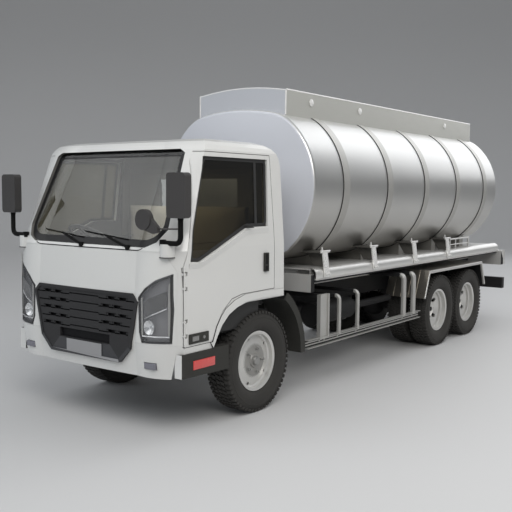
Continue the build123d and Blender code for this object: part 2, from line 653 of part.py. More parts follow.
def write_fenders():
    """Flat-topped fenders over each pair of twins, and the back half of each front mudguard."""
    sheet, lip = 10.0, 34.0
    line = [(3172, 620), (3301, 937), (4969, 937), (5098, 620)]

    def inset(amount):
        return [(3172 + amount * 1.08, 620), (3301 + amount * 0.68, 937 - amount), (4969 - amount * 0.68, 937 - amount),
                (5098 - amount * 1.08, 620)]

    cover = prism_x(line + inset(sheet)[::-1], FENDER_IN, FENDER_X)
    cover += prism_x(line + inset(lip)[::-1], FENDER_X - 20, FENDER_X)
    for x in (520, 615, 710, 805):
        rib = [(y - 6, z) for y, z in line[:2]] + [(y + 1, z) for y, z in line[1::-1]]
        cover += prism_x(rib, x - 9, x + 9)
    for y in (3420, 4134, 4850):
        cover += box(RAIL_OUTER, FENDER_IN + 5, y - 30, y + 30, 915, 937)
    node("rear_fenders", *both(cover))
    r_in, r_lip = 590.0, 660.0
    start, stop = -2.0, 55.0

    def arc_at(radius, x, a0, a1):
        points = []
        for angle in (a0, (a0 + a1) / 2, a1):
            turn = math.radians(angle)
            points.append((x, radius * math.cos(turn), TYRE_R + radius * math.sin(turn)))
        return points

    def sector(r0, r1, x0, x1):
        low, mid, high = arc_at(r0, x0, start, stop)
        low2, mid2, high2 = arc_at(r1, x0, start, stop)
        face = make_face([ThreePointArc(low, mid, high), Line(high, high2), ThreePointArc(high2, mid2, low2),
                          Line(low2, low)])
        return extrude(face, amount=x1 - x0, dir=(1, 0, 0))

    guard = sector(r_in, r_in + 8, 640, FENDER_X) + sector(r_in, r_lip, FENDER_X - 14, FENDER_X)
    guard += box(RAIL_OUTER, 645, 420, 460, 800, 830)
    guard += box(612, 645, 420, 460, 800, 850)
    node("front_mudguards", *both(guard))


def write_rear():
    """Under-run bar on two hangers, and a lamp at each end of the box."""
    bar = box(-880, 880, 5905, 5990, 481, 634)
    for x in (-RAIL_OUTER + 10, RAIL_OUTER - 40):
        bar += box(x, x + 30, 5890, 5990, 634, 823)
    node("underrun_bar", bar)
    lamp = box(590, 850, REAR_END - 25, REAR_END, 850, 990)
    node("tail_lamps", *both(lamp))


# ---- cab ----
# height, front at the middle, half width of the flat middle, half width, start of the flat side, back
CAB_SECTIONS = (
    (430, -1080, 560, 912, -955, 282),
    (720, -1117, 560, 950, -975, 282),
    (1090, -1117, 560, 950, -975, 282),
    (1410, -1090, 560, 948, -950, 282),
    (2060, -799, 526, 904, -726, 276),
    (2120, -772, 522, 899, -705, 260),
    (2165, -752, 520, 893, -690, 232),
    (2200, -727, 501, 876, -666, 186),
    (2230, -700, 480, 846, -640, 116),
    (2253, -610, 420, 782, -560, 20),
)
SHOULDER_BACK = 14.0
CAB_SIDE = CAB_SECTIONS[1][3]


def cab_face(row, inset):
    """One level outline of the cab: bowed front, round corners, flat sides and back."""
    z, front, shoulder, side, corner, rear = row
    y0 = front + inset
    ys = y0 + SHOULDER_BACK
    xw = side - inset
    yw = corner + inset * 0.5
    yr = rear - inset
    xm = shoulder + 0.72 * (xw - shoulder)
    ym = ys + 0.30 * (yw - ys)
    height = z - inset if z > 2000 else z
    at = [(shoulder, ys), (xm, ym), (xw, yw), (xw, yr)]
    right = [(x, y, height) for x, y in at]
    left = [(-x, y, height) for x, y in at]
    edges = [ThreePointArc(left[0], (0, y0, height), right[0]),
             ThreePointArc(right[0], right[1], right[2]),
             Line(right[2], right[3]),
             Line(right[3], left[3]),
             Line(left[3], left[2]),
             ThreePointArc(left[2], left[1], left[0])]
    return make_face(edges)


def cab_body(inset):
    """The cab's whole outer form, drawn in by inset."""
    return loft([cab_face(row, inset) for row in CAB_SECTIONS], ruled=True)


DOOR_LINE = [(DOOR_FRONT, 703), (DOOR_FRONT, 1290), (-737, 2145), (125, 2145), (DOOR_REAR, 1498), (DOOR_REAR, 1040),
             (-300, 1034), (-430, 1008), (-540, 925), (-620, 815), (-668, 703)]
WINDOW_LINE = [(-915, 1330), (-880, 1560), (-712, 2112), (92, 2112), (58, 1562), (-219, 1562), (-810, 1322)]
SCREEN_LINE = [(-640, 1428), (640, 1428), (735, 1470), (795, 1560), (742, 2140), (690, 2170), (-690, 2170),
               (-742, 2140), (-795, 1560), (-735, 1470)]
REAR_WINDOW = [(-480, 1560), (480, 1560), (480, 1960), (-480, 1960)]
GRILLE_LINE = [(-402, 542), (402, 542), (521, 658), (604, 1023), (544, 1083), (-544, 1083), (-604, 1023), (-521, 658)]
LAMP_LINE = [(640, 722), (880, 730), (893, 985), (881, 1246), (758, 1194), (673, 1133), (603, 1058), (612, 800)]


def grown(points, amount):
    """An outline moved outwards by amount, by its own corners."""
    cx = sum(p[0] for p in points) / len(points)
    cy = sum(p[1] for p in points) / len(points)
    out = []
    total = len(points)
    for i, (x, y) in enumerate(points):
        x0, y0 = points[i - 1]
        x1, y1 = points[(i + 1) % total]
        n0 = unit_normal((x0, y0), (x, y))
        n1 = unit_normal((x, y), (x1, y1))
        scale = amount / (1 + n0[0] * n1[0] + n0[1] * n1[1])
        out.append((x + (n0[0] + n1[0]) * scale, y + (n0[1] + n1[1]) * scale))
    if spread(out, cx, cy) < spread(points, cx, cy) and amount > 0:
        return grown(points, -amount)
    return out


def unit_normal(a, b):
    """Normal of the edge from a to b."""
    dx, dy = b[0] - a[0], b[1] - a[1]
    length = math.hypot(dx, dy)
    return (dy / length, -dx / length)


def spread(points, cx, cy):
    """How far an outline's corners lie from its middle, added up."""
    return sum(math.hypot(x - cx, y - cy) for x, y in points)


def shrunk(points, amount):
    """An outline moved inwards by amount."""
    bigger = grown(points, amount)
    return [(2 * x - bx, 2 * y - by) for (x, y), (bx, by) in zip(points, bigger)]


def door_hinges(side):
    """Two pins on the cab's post, and the room that they need in the door."""
    pins, notches, barrels = [], [], []
    for z in (840, 1190):
        x = HINGE_X
        pin = rod_z(x, HINGE_Y, z - 50, z + 50, 4)
        for z0, z1 in ((z - 60, z - 44), (z + 44, z + 60)):
            pin += box(x - 6, x + 6, DOOR_FRONT - HINGE_GAP - 6, HINGE_Y + 6, z0, z1)
        pins.append(pin)
        notches.append(box(x - 20, x + 30, DOOR_FRONT - 5, HINGE_Y + 18, z - 70, z + 70))
        barrel = rod_z(x, HINGE_Y, z - 40, z + 40, HINGE_R)
        barrel += box(x - 6, x + 6, HINGE_Y, HINGE_Y + 24, z - 40, z + 40)
        barrel -= rod_z(x, HINGE_Y, z - 41, z + 41, 4 + RUNNING_GAP)
        barrels.append(barrel)
    return fuse_apart(pins), fuse_apart(notches), fuse_apart(barrels)


FLARE_LINE = [(-658, 655), (-612, 735), (-556, 815), (-470, 888), (-372, 932), (-247, 966), (-30, 974), (273, 966)]
FLARE_TOP = [(273, 1026), (-30, 1030), (-262, 1026), (-400, 992), (-508, 938), (-600, 850), (-658, 758), (-690, 700)]


def flare(side):
    """The raised lip that follows the wheel arch on the cab's side."""
    x0, x1 = sorted((side * (CAB_SIDE - 14), side * (CAB_SIDE + 7)))
    return prism_x(FLARE_LINE + FLARE_TOP, x0, x1)


def write_cab():
    """Hollow cab shell, its doors, glass and front."""
    outer = cab_body(0)
    inner = cab_body(CAB_WALL)
    floor_line = [(-1300, FOOTWELL_Z), (-560, FOOTWELL_Z), (-500, CAB_FLOOR_Z), (600, CAB_FLOOR_Z), (600, 2600),
                  (-1300, 2600)]
    room = inner & prism_x(floor_line, -1000, 1000)
    room -= box(-TUNNEL_HALF - CAB_WALL, TUNNEL_HALF + CAB_WALL, -1300, 400, 400, TUNNEL_TOP + CAB_WALL)
    arch = [(-1300, 300), (-1300, CAB_BOTTOM), (-660, CAB_BOTTOM), (-625, 730), (-565, 812), (-477, 884), (-376, 928),
            (-247, ARCH_TOP - 3), (-200, ARCH_TOP), (400, ARCH_TOP), (400, 300)]
    shell = outer - room
    shell -= prism_x(arch, -1000, 1000)
    shell -= box(-TUNNEL_HALF, TUNNEL_HALF, -1300, 400, 400, TUNNEL_TOP)
    shell += flare(1) + flare(-1)
    wall = outer - inner
    front_zone = box(-1000, 1000, -1300, BUMPER_BACK, 300, BUMPER_Z1)
    panel_zone = prism_y([(-905, BUMPER_Z1), (905, BUMPER_Z1), (905, 1260), (820, 1400), (-820, 1400), (-905, 1260)],
                         -1300, -985)
    screen = prism_y(SCREEN_LINE, -1300, -500)
    door_cut = prism_x(grown(DOOR_LINE, DOOR_GAP), 800, 1000)
    door_cut += box(800, 1000, DOOR_FRONT - HINGE_GAP, DOOR_FRONT, 700, 1290)
    window = prism_x(WINDOW_LINE, 800, 1000)
    pins, notches, barrels = door_hinges(1)
    shell = shell - front_zone - (panel_zone & (outer - cab_body(CAB_WALL - 10))) - screen
    shell -= door_cut
    shell -= other_side(door_cut)
    shell -= prism_y(REAR_WINDOW, 100, 400)
    lugs = []
    for side in (1, -1):
        x0, x1 = sorted((side * (RAIL_OUTER + 8), side * (TUNNEL_HALF + 2)))
        lug = box(x0, x1, PIVOT_Y - 60, PIVOT_Y + 60, PIVOT_Z - 45, PIVOT_Z + 120)
        lug -= rod_x(-500, 500, PIVOT_Y, PIVOT_Z, PIVOT_R + RUNNING_GAP)
        lugs.append(lug)
    parts = [solid for solid in shell.solids() if solid.volume > 1e6]
    shell = fuse(parts + lugs)
    shell = fuse([shell] + list(pins.solids()) + list(other_side(pins).solids()))
    below = box(-1000, 1000, -1300, 400, 300, CAB_FLOOR_Z)
    node("cab_shell", shell - below)
    node("cab_floor", shell & below)
    door = (wall & prism_x(DOOR_LINE, 800, 1000)) - window - notches
    door = fuse([door] + list(barrels.solids()))
    handle = box(948, 968, -12, 42, 1190, 1345) - box(900, 958, 0, 30, 1205, 1330)
    door = door + handle
    glass_skin = cab_body(20) - cab_body(26)
    pane = glass_skin & window
    glass_front = glass_skin & (screen + prism_y(REAR_WINDOW, 100, 400))
    for shape, label in ((door, "left"), (other_side(door), "right")):
        node(f"door_{label}", shape)
    for shape, label in ((pane, "left"), (other_side(pane), "right")):
        node(f"door_glass_{label}", shape)
    node("cab_glass", glass_front)
    write_front(outer)


def write_front(outer):
    """Front panel, bumper, grille, headlamps and the dark skirts beside the steps."""
    skin = outer - cab_body(CAB_WALL - 10)
    grille_cut = prism_y(grown(GRILLE_LINE, RUNNING_GAP), -1300, -900)
    lamp_cut = prism_y(grown(LAMP_LINE, 1), -1300, -900)
    panel_zone = prism_y([(-904, BUMPER_Z1 + 1), (904, BUMPER_Z1 + 1), (904, 1259), (819, 1399), (-819, 1399),
                          (-904, 1259)], -1300, -986)
    panel = (skin & panel_zone) - grille_cut - lamp_cut - other_side(lamp_cut)
    node("front_panel", panel)
    bumper = (skin & box(-1000, 1000, -1300, BUMPER_BACK, BUMPER_Z0, BUMPER_Z1)) - grille_cut
    for x0, x1 in ((645, 760), (-760, -645)):
        bumper -= box(x0, x1, -1300, -1060, 523, 578)
    node("bumper", bumper)
    lamp = (skin & prism_y(shrunk(LAMP_LINE, 1), -1300, DOOR_FRONT - HINGE_GAP - 8)) - grille_cut
    node("headlamps", *both(lamp))
    write_grille()
    top = CAB_BOTTOM - RUNNING_GAP
    skirt = prism_x([(-1012, 472), (-466, 458), (-466, top), (-1012, top)], 880, 950)
    node("side_skirts", *both(skirt))


GRILLE_DEEP = CAB_WALL - 10 - 4
GRILLE_RIM = 24.0
GRILLE_FACE = CAB_FRONT + 7
MOUTH_HALF = 292.0
MOUTH_Z0 = 668.0
MOUTH_Z1 = 742.0
LATTICE_Z0 = 772.0
LATTICE_Z1 = 1030.0
LATTICE_ROWS = 5
BRICK_PITCH = 126.0
BRICK_W = 106.0
BRICK_H = 27.0
BRICK_DEEP = 24.0
PLAIN_HALF = 172.0
SEAM_H = 9.0
PLATE_HALF = 206.0
PLATE_Z0 = 560.0
PLATE_Z1 = 661.0


def brick(x, z):
    """One long six-sided pocket of the lattice."""
    half_w, half_h = BRICK_W / 2, BRICK_H / 2
    line = [(x - half_w, z), (x - half_w + half_h, z - half_h), (x + half_w - half_h, z - half_h), (x + half_w, z),
            (x + half_w - half_h, z + half_h), (x - half_w + half_h, z + half_h)]
    return prism_y(line, GRILLE_FACE - 1, GRILLE_FACE + BRICK_DEEP)


def grille_half_width(z):
    """Half the width of the grille's outline at a height."""
    right = [(x, height) for x, height in GRILLE_LINE if x > 0]
    right.sort(key=lambda point: point[1])
    for (x0, z0), (x1, z1) in zip(right, right[1:]):
        if z0 <= z <= z1:
            return x0 + (x1 - x0) * (z - z0) / (z1 - z0)
    return 0


def write_grille():
    """A raised frame round rows of staggered pockets and plain middle bars, with a mouth and a plate holder."""
    back = CAB_FRONT + GRILLE_DEEP
    frame = prism_y(GRILLE_LINE, CAB_FRONT, back)
    frame -= prism_y(shrunk(GRILLE_LINE, GRILLE_RIM), CAB_FRONT - 1, GRILLE_FACE)
    pockets = []
    row_pitch = (LATTICE_Z1 - LATTICE_Z0) / (LATTICE_ROWS - 1)
    for row in range(LATTICE_ROWS):
        z = LATTICE_Z0 + row * row_pitch
        room = grille_half_width(z - BRICK_H / 2) - GRILLE_RIM - BRICK_W / 2 - 12
        above_mouth = z > MOUTH_Z1 + BRICK_H
        start = 0 if row % 2 else BRICK_PITCH / 2
        for step in range(-5, 6):
            x = start + step * BRICK_PITCH
            plain = PLAIN_HALF if above_mouth else MOUTH_HALF
            if plain + BRICK_W / 2 < abs(x) < room:
                pockets.append(brick(x, z))
        if above_mouth:
            pockets.append(box(-PLAIN_HALF, PLAIN_HALF, GRILLE_FACE - 1, GRILLE_FACE + BRICK_DEEP, z - SEAM_H / 2,
                               z + SEAM_H / 2))
    frame -= fuse_apart(pockets)
    frame -= box(-MOUTH_HALF, MOUTH_HALF, CAB_FRONT - 1, GRILLE_FACE + BRICK_DEEP, MOUTH_Z0, MOUTH_Z1)
    frame += box(-PLATE_HALF, PLATE_HALF, CAB_FRONT + 1, GRILLE_FACE + 4, PLATE_Z0, PLATE_Z1)
    node("grille", frame)


DASH_HALF = 818.0
ARM_X = 975.0
MIRROR_ARM_Z = 1470.0


def write_cab_fittings():
    """Dashboard, steering wheel, seats, mirrors and wipers."""
    dash_line = [(-1030, 1150), (-1030, 1400), (-960, 1415), (-780, 1385), (-740, 1300), (-800, 1150)]
    dash = prism_x(dash_line, -DASH_HALF, DASH_HALF)
    dash &= cab_body(CAB_WALL + RUNNING_GAP)
    node("dashboard", dash)
    wheel_x = -430.0
    tilt = -32.0
    place = Pos(wheel_x, -640, 1440) * Rot(tilt, 0, 0)
    wheel = place * Torus(205, 14)
    wheel += place * Cylinder(42, 30)
    wheel += place * Box(390, 34, 12)
    wheel += place * Pos(0, -100, 0) * Box(34, 200, 12)
    wheel += place * Pos(0, 0, -130) * Cylinder(22, 250)
    wheel -= dash
    node("steering_wheel", wheel)
    seats = []
    for x0, x1 in ((-700, -180), (-60, 690)):
        cushion = box(x0, x1, -430, 40, CAB_FLOOR_Z + 20, CAB_FLOOR_Z + 150)
        cushion = fillet(cushion.edges().filter_by(Axis.X), 30)
        back = prism_x([(45, CAB_FLOOR_Z + 20), (155, CAB_FLOOR_Z + 20), (195, 1720), (115, 1720)], x0, x1)
        base = box(x0 + 40, x1 - 40, -400, 150, CAB_FLOOR_Z, CAB_FLOOR_Z + 19.7)
        seats += [base, cushion, back]
    node("seats", *seats)
    head = box(880, 1058, -1100, -1030, 1655, 1980)
    head = fillet(head.edges().filter_by(Axis.Y), 30)
    arm_y = -1050.0
    arm = bent_tube([(ARM_X, arm_y, 1700), (ARM_X, arm_y, MIRROR_ARM_Z), (800, arm_y, MIRROR_ARM_Z)], 42, 14)
    pod = rod_z(826, -1025, 1360, MIRROR_ARM_Z - 8, 58)
    pod += rod_z(800, arm_y, MIRROR_ARM_Z - 30, MIRROR_ARM_Z + 15, 20)
    mirror_left = head + (arm + pod - cab_body(0))
    kerb_back = KERB_MIRROR_FRONT + 40
    kerb = rod_y(706, KERB_MIRROR_FRONT, kerb_back, 1640, 76)
    kerb += prism_y([(660, 1580), (640, 1600), (706, 1640), (780, 1650), (845, 1590), (850, 1552), (800, 1540)],
                    KERB_MIRROR_FRONT + 6, kerb_back)
    kerb += bent_tube([(726, kerb_back - 12, 1618), (866, kerb_back - 12, 1577), (ARM_X, arm_y, 1577)], 30, 6)
    mirror_left = mirror_left + kerb
    node("mirrors", mirror_left, other_side(head + (arm + pod - cab_body(0))))


write_wheels()
write_steering()
write_frame()
write_driveline()
write_deck()
write_sills()
write_tank()
write_guards()
write_fenders()
write_rear()
write_cab()
write_cab_fittings()
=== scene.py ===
import math

import bmesh
import bpy
from mathutils import Matrix, Vector
from mathutils.bvhtree import BVHTree


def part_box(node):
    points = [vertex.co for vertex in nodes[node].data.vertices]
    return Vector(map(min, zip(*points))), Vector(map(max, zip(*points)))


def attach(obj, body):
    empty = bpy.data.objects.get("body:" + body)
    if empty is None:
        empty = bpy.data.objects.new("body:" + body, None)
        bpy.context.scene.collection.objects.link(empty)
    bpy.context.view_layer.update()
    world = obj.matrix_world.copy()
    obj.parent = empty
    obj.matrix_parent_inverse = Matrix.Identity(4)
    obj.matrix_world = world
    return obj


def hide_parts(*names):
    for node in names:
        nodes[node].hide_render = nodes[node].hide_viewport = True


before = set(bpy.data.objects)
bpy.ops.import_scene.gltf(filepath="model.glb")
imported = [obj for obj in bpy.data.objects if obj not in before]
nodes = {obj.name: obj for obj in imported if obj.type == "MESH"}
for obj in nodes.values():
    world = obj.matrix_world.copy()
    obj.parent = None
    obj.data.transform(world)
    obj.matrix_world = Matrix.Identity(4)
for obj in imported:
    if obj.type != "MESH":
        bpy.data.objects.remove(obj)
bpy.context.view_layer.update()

# ==== Places ====
# Every place below is in metres from the middle of the front axle, at road level: x to the truck's left,
# y towards its rear. The frame tells where that axle is.
axle_low, axle_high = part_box("tyre_front_left")
FRONT_AXLE_Y = (axle_low.y + axle_high.y) / 2
SIDES = ((1, "left"), (-1, "right"))
BOTH = (1, -1)


def at(x, y, z):
    """A point given from the front axle, in the frame."""
    return Vector((x, FRONT_AXLE_Y + y, z))


# ==== Studio floor, backdrop, lamps and camera ====
# A pale floor that curves up into a backdrop, with broad soft lamps over the front corner, in front, beside,
# above and behind the tank, and a small one in the cab. The camera stands off the front left corner.
FLOOR_HALF, FLOOR_NEAR, FLOOR_FAR = 40.0, -30.0, 15.0
BACKDROP_BEND, BACKDROP_TOP, BEND_STEPS = 9.0, 26.0, 12
FLOOR_COLOUR = (0.52, 0.52, 0.52, 1)
FLOOR_ROUGHNESS = 0.6
SURROUND_COLOUR = (0.36, 0.36, 0.36, 1)
SURROUND_STRENGTH = 0.55
SURROUND_BANDS = (
    # height from 0 below to 1 above, colour of the light
    (0.35, (0.10, 0.10, 0.11, 1)),
    (0.56, (0.34, 0.35, 0.36, 1)),
    (0.95, (0.85, 0.88, 0.92, 1)),
)
GLOW_WAY = Vector((-0.46, -0.60, 0.65)).normalized()
GLOW_EDGE, GLOW_CORE, GLOW_STRENGTH = 0.78, 0.99, 1.7
CAMERA_PLACE = (4.7324, -5.160, 1.848)
CAMERA_TURN, CAMERA_DIP, CAMERA_ROLL = (math.radians(angle) for angle in (36.8726, 4.7414, 0.4013))
CAMERA_LENS, CAMERA_SENSOR, CAMERA_REACH = 54.61, 36, 200
LAMPS = (
    # name, place, target, size, power, colour, mirrored
    ("key_lamp", (5.2, -7.0, 6.5), (0, -1, 1.2), 5.0, 400, (1.0, 0.98, 0.95), True),
    ("front_lamp", (-3.5, -8.0, 3.5), (0, -1, 1.2), 5.0, 90, (0.80, 0.90, 1.0), False),
    ("side_lamp", (9.0, 3.5, 3.6), (0, 0, 1.0), 6.0, 200, (1.0, 0.98, 0.95), False),
    ("top_lamp", (2.6, 1.8, 7.0), (0.2, 1.4, 1.6), 6.0, 170, (1.0, 1.0, 1.0), False),
    ("back_lamp", (1.2, 13.0, 8.0), (0.3, 2.0, 2.0), 10.0, 430, (0.97, 0.98, 1.0), True),
    ("cab_lamp", (0.0, -2.85, 2.06), (0, -2.85, 1.0), 0.7, 9, (1.0, 0.97, 0.92), False),
)


def fill(made, values):
    """Values in a node's sockets."""
    for socket, value in values.items():
        made.inputs[socket].default_value = value


def node(tree, kind, values=None, **settings):
    """A new node in a tree, with its settings, and values in its sockets."""
    made = tree.nodes.new(kind)
    for setting, value in settings.items():
        setattr(made, setting, value)
    fill(made, values or {})
    return made


def wire(tree, *links):
    """Links in a tree: a node, its output, the next node and its input."""
    for one, output, two, entry in links:
        tree.links.new(one.outputs[output], two.inputs[entry])


def show(thing):
    """The object joins the scene."""
    bpy.context.scene.collection.objects.link(thing)
    return thing


def studio_world():
    """A dim grey surround that lights softly from above, with one soft glow high in front."""
    world = bpy.data.worlds.new("studio_surround")
    bpy.context.scene.world = world
    world.use_nodes = True
    tree = world.node_tree
    tree.nodes.clear()
    coords = node(tree, "ShaderNodeTexCoord")
    split = node(tree, "ShaderNodeSeparateXYZ")
    half = node(tree, "ShaderNodeMapRange", {"From Min": -1})
    ramp = node(tree, "ShaderNodeValToRGB")
    bands = ramp.color_ramp.elements
    bands.new(SURROUND_BANDS[1][0])
    for band, (height, colour) in zip(bands, SURROUND_BANDS):
        band.position = height
        band.color = colour
    toward = node(tree, "ShaderNodeVectorMath", {1: GLOW_WAY}, operation="DOT_PRODUCT")
    glow = node(tree, "ShaderNodeMapRange",
                {"From Min": GLOW_EDGE, "From Max": GLOW_CORE, "To Max": GLOW_STRENGTH},
                interpolation_type="SMOOTHERSTEP")
    both = node(tree, "ShaderNodeVectorMath")
    soft = node(tree, "ShaderNodeBackground", {"Strength": SURROUND_STRENGTH})
    seen = node(tree, "ShaderNodeBackground", {"Color": SURROUND_COLOUR})
    path = node(tree, "ShaderNodeLightPath")
    mix = node(tree, "ShaderNodeMixShader")
    out = node(tree, "ShaderNodeOutputWorld")
    wire(tree, (coords, "Generated", split, 0), (split, "Z", half, "Value"), (half, "Result", ramp, "Fac"),
         (coords, "Generated", toward, 0), (toward, "Value", glow, "Value"), (ramp, "Color", both, 0),
         (glow, "Result", both, 1), (both, 0, soft, "Color"), (path, "Is Camera Ray", mix, "Fac"),
         (soft, 0, mix, 1), (seen, 0, mix, 2), (mix, 0, out, "Surface"))


def studio_floor():
    """A large plain floor that keeps the truck's shadow, bent up behind the truck."""
    side = Vector((math.cos(CAMERA_TURN), math.sin(CAMERA_TURN), 0)) * FLOOR_HALF
    away = Vector((-side.y, side.x, 0)) / FLOOR_HALF
    line = [(FLOOR_NEAR, 0.0)]
    for step in range(BEND_STEPS + 1):
        turn = math.radians(90 * step / BEND_STEPS)
        line.append((FLOOR_FAR + BACKDROP_BEND * math.sin(turn), BACKDROP_BEND * (1 - math.cos(turn))))
    line.append((FLOOR_FAR + BACKDROP_BEND, BACKDROP_TOP))
    places = [away * reach + Vector((0, 0, rise)) + shift for reach, rise in line for shift in (-side, side)]
    faces = [(2 * step, 2 * step + 1, 2 * step + 3, 2 * step + 2) for step in range(len(line) - 1)]
    mesh = bpy.data.meshes.new("studio_floor")
    mesh.from_pydata(places, [], faces)
    mesh.shade_smooth()
    paint = bpy.data.materials.new("studio_floor")
    paint.use_nodes = True
    fill(paint.node_tree.nodes["Principled BSDF"], {"Base Color": FLOOR_COLOUR, "Roughness": FLOOR_ROUGHNESS})
    mesh.materials.append(paint)
    show(bpy.data.objects.new("studio_floor", mesh))


def studio_lamps():
    """Broad square lamps, each turned to its target; some light the truck without being mirrored in it."""
    for name, place, target, size, power, colour, mirrored in LAMPS:
        lamp = bpy.data.lights.new(name, "AREA")
        lamp.size = size
        lamp.energy = power
        lamp.color = colour
        holder = show(bpy.data.objects.new(name, lamp))
        holder.location = place
        holder.rotation_euler = (Vector(target) - Vector(place)).to_track_quat("-Z", "Y").to_euler()
        holder.visible_glossy = mirrored
        holder.visible_camera = False
        holder.visible_transmission = False


def studio_camera():
    """The camera, level with the windscreen's top, looking at the front left corner."""
    camera = bpy.data.cameras.new("camera")
    camera.sensor_width = CAMERA_SENSOR
    camera.lens = CAMERA_LENS
    camera.clip_end = CAMERA_REACH
    holder = show(bpy.data.objects.new("camera", camera))
    turn = Matrix.Rotation(CAMERA_TURN, 4, "Z")
    dip = Matrix.Rotation(math.pi / 2 - CAMERA_DIP, 4, "X")
    roll = Matrix.Rotation(CAMERA_ROLL, 4, "Z")
    holder.matrix_world = Matrix.Translation(at(*CAMERA_PLACE)) @ turn @ dip @ roll
    bpy.context.scene.camera = holder


studio_world()
studio_floor()
studio_lamps()
studio_camera()
bpy.context.scene.view_settings.view_transform = "Standard"


# ==== Finishes that several pieces share ====
# Grain is the fine unevenness of a moulded, painted or rolled surface. Road film is the grey dust that
# settles on the lower parts and in the wheels. The same darkening toward the bottom is also a painted
# reflection on the tank's skin and straps.
COAT_ROUGHNESS = 0.06
GRAIN_NOISE, GRAIN_RANGE = {"Detail": 4}, {"From Min": 0.3, "From Max": 0.7}
FILM_NOISE, FILM_RANGE = {"Detail": 6, "Roughness": 0.6}, {"From Min": 0.35, "From Max": 0.75, "To Min": 0.25}
FILM_AND_SHADE_RISE = {"To Min": 1, "To Max": 0.08}


def new_group(name, inputs, outputs):
    """An empty shader group with named sockets: (name, kind, default) for each input."""
    group = bpy.data.node_groups.new(name, "ShaderNodeTree")
    for label, kind, value in inputs:
        socket = group.interface.new_socket(label, in_out="INPUT", socket_type="NodeSocket" + kind)
        socket.default_value = value
    for label, kind in outputs:
        group.interface.new_socket(label, in_out="OUTPUT", socket_type="NodeSocket" + kind)
    return group, group.nodes.new("NodeGroupInput"), group.nodes.new("NodeGroupOutput")


def grain_group():
    """Noise on Object coordinates that varies roughness and raises a slight bump."""
    group, given, out = new_group(
        "surface_grain",
        [("Scale", "Float", 40.0), ("Low Roughness", "Float", 0.3), ("High Roughness", "Float", 0.5),
         ("Height", "Float", 0.001), ("Stretch", "Vector", (1.0, 1.0, 1.0))],
        [("Roughness", "Float"), ("Normal", "Vector")])
    coords = node(group, "ShaderNodeTexCoord")
    stretch = node(group, "ShaderNodeVectorMath", operation="MULTIPLY")
    noise = node(group, "ShaderNodeTexNoise", GRAIN_NOISE)
    rough = node(group, "ShaderNodeMapRange", GRAIN_RANGE)
    bump = node(group, "ShaderNodeBump", {"Strength": 1.0})
    wire(group, (coords, "Object", stretch, 0), (given, "Stretch", stretch, 1), (stretch, 0, noise, "Vector"),
         (given, "Scale", noise, "Scale"), (noise, "Fac", rough, "Value"),
         (given, "Low Roughness", rough, "To Min"), (given, "High Roughness", rough, "To Max"),
         (noise, "Fac", bump, "Height"), (given, "Height", bump, "Distance"),
         (rough, "Result", out, "Roughness"), (bump, "Normal", out, "Normal"))
    return group


def film_and_shade_group():
    """A base colour with a darkening film over it, thickest at the bottom and in patches: road dust on most
    pieces, painted reflection on the tank's skin and straps.
    """
    group, given, out = new_group(
        "road_film_and_shade",
        [("Base", "Color", (0.5, 0.5, 0.5, 1)), ("Film_And_Shade", "Color", (0.16, 0.15, 0.14, 1)),
         ("Low", "Float", 0.2), ("High", "Float", 1.2), ("Amount", "Float", 0.2), ("Scale", "Float", 3.0)],
        [("Color", "Color")])
    coords = node(group, "ShaderNodeTexCoord")
    split = node(group, "ShaderNodeSeparateXYZ")
    rise = node(group, "ShaderNodeMapRange", FILM_AND_SHADE_RISE)
    noise = node(group, "ShaderNodeTexNoise", FILM_NOISE)
    patch = node(group, "ShaderNodeMapRange", FILM_RANGE)
    both = node(group, "ShaderNodeMath", operation="MULTIPLY")
    scaled = node(group, "ShaderNodeMath", operation="MULTIPLY")
    mix = node(group, "ShaderNodeMix", data_type="RGBA")
    wire(group, (coords, "Object", split, 0), (split, "Z", rise, "Value"), (given, "Low", rise, "From Min"),
         (given, "High", rise, "From Max"), (coords, "Object", noise, "Vector"),
         (given, "Scale", noise, "Scale"), (noise, "Fac", patch, "Value"), (rise, "Result", both, 0),
         (patch, "Result", both, 1), (both, 0, scaled, 0), (given, "Amount", scaled, 1),
         (scaled, 0, mix, "Factor"), (given, "Base", mix, "A"), (given, "Film_And_Shade", mix, "B"),
         (mix, "Result", out, "Color"))
    return group


SURFACE_GRAIN = grain_group()
FILM_AND_SHADE = film_and_shade_group()


def finish_of(name, colour, rough, metallic=0.0, coat=0.0, grain=420, height=0.0004, film_and_shade=0.0, film_and_shade_low=0.2,
              film_and_shade_top=1.3, film_and_shade_colour=(0.16, 0.15, 0.14), film_and_shade_scale=3.0, stretch=(1, 1, 1), spread=0.05,
              specular=0.5, alpha=1.0):
    """A material: a base colour under a darkening film (road dust, and painted reflection on the tank), with
    grain in its roughness and bump.
    """
    paint = bpy.data.materials.new(name)
    paint.use_nodes = True
    tree = paint.node_tree
    shader = tree.nodes["Principled BSDF"]
    fill(shader, {"Metallic": metallic, "Coat Weight": coat, "Coat Roughness": COAT_ROUGHNESS,
                  "Specular IOR Level": specular, "Alpha": alpha})
    dust_and_shade = node(tree, "ShaderNodeGroup", node_tree=FILM_AND_SHADE)
    fill(dust_and_shade, {"Base": (*colour, 1), "Film_And_Shade": (*film_and_shade_colour, 1), "Amount": film_and_shade, "Low": film_and_shade_low,
                 "High": film_and_shade_top, "Scale": film_and_shade_scale})
    grains = node(tree, "ShaderNodeGroup", node_tree=SURFACE_GRAIN)
    fill(grains, {"Scale": grain, "Low Roughness": rough - spread, "High Roughness": rough + spread,
                  "Height": height, "Stretch": stretch})
    wire(tree, (dust_and_shade, "Color", shader, "Base Color"), (grains, "Roughness", shader, "Roughness"),
         (grains, "Normal", shader, "Normal"))
    return paint


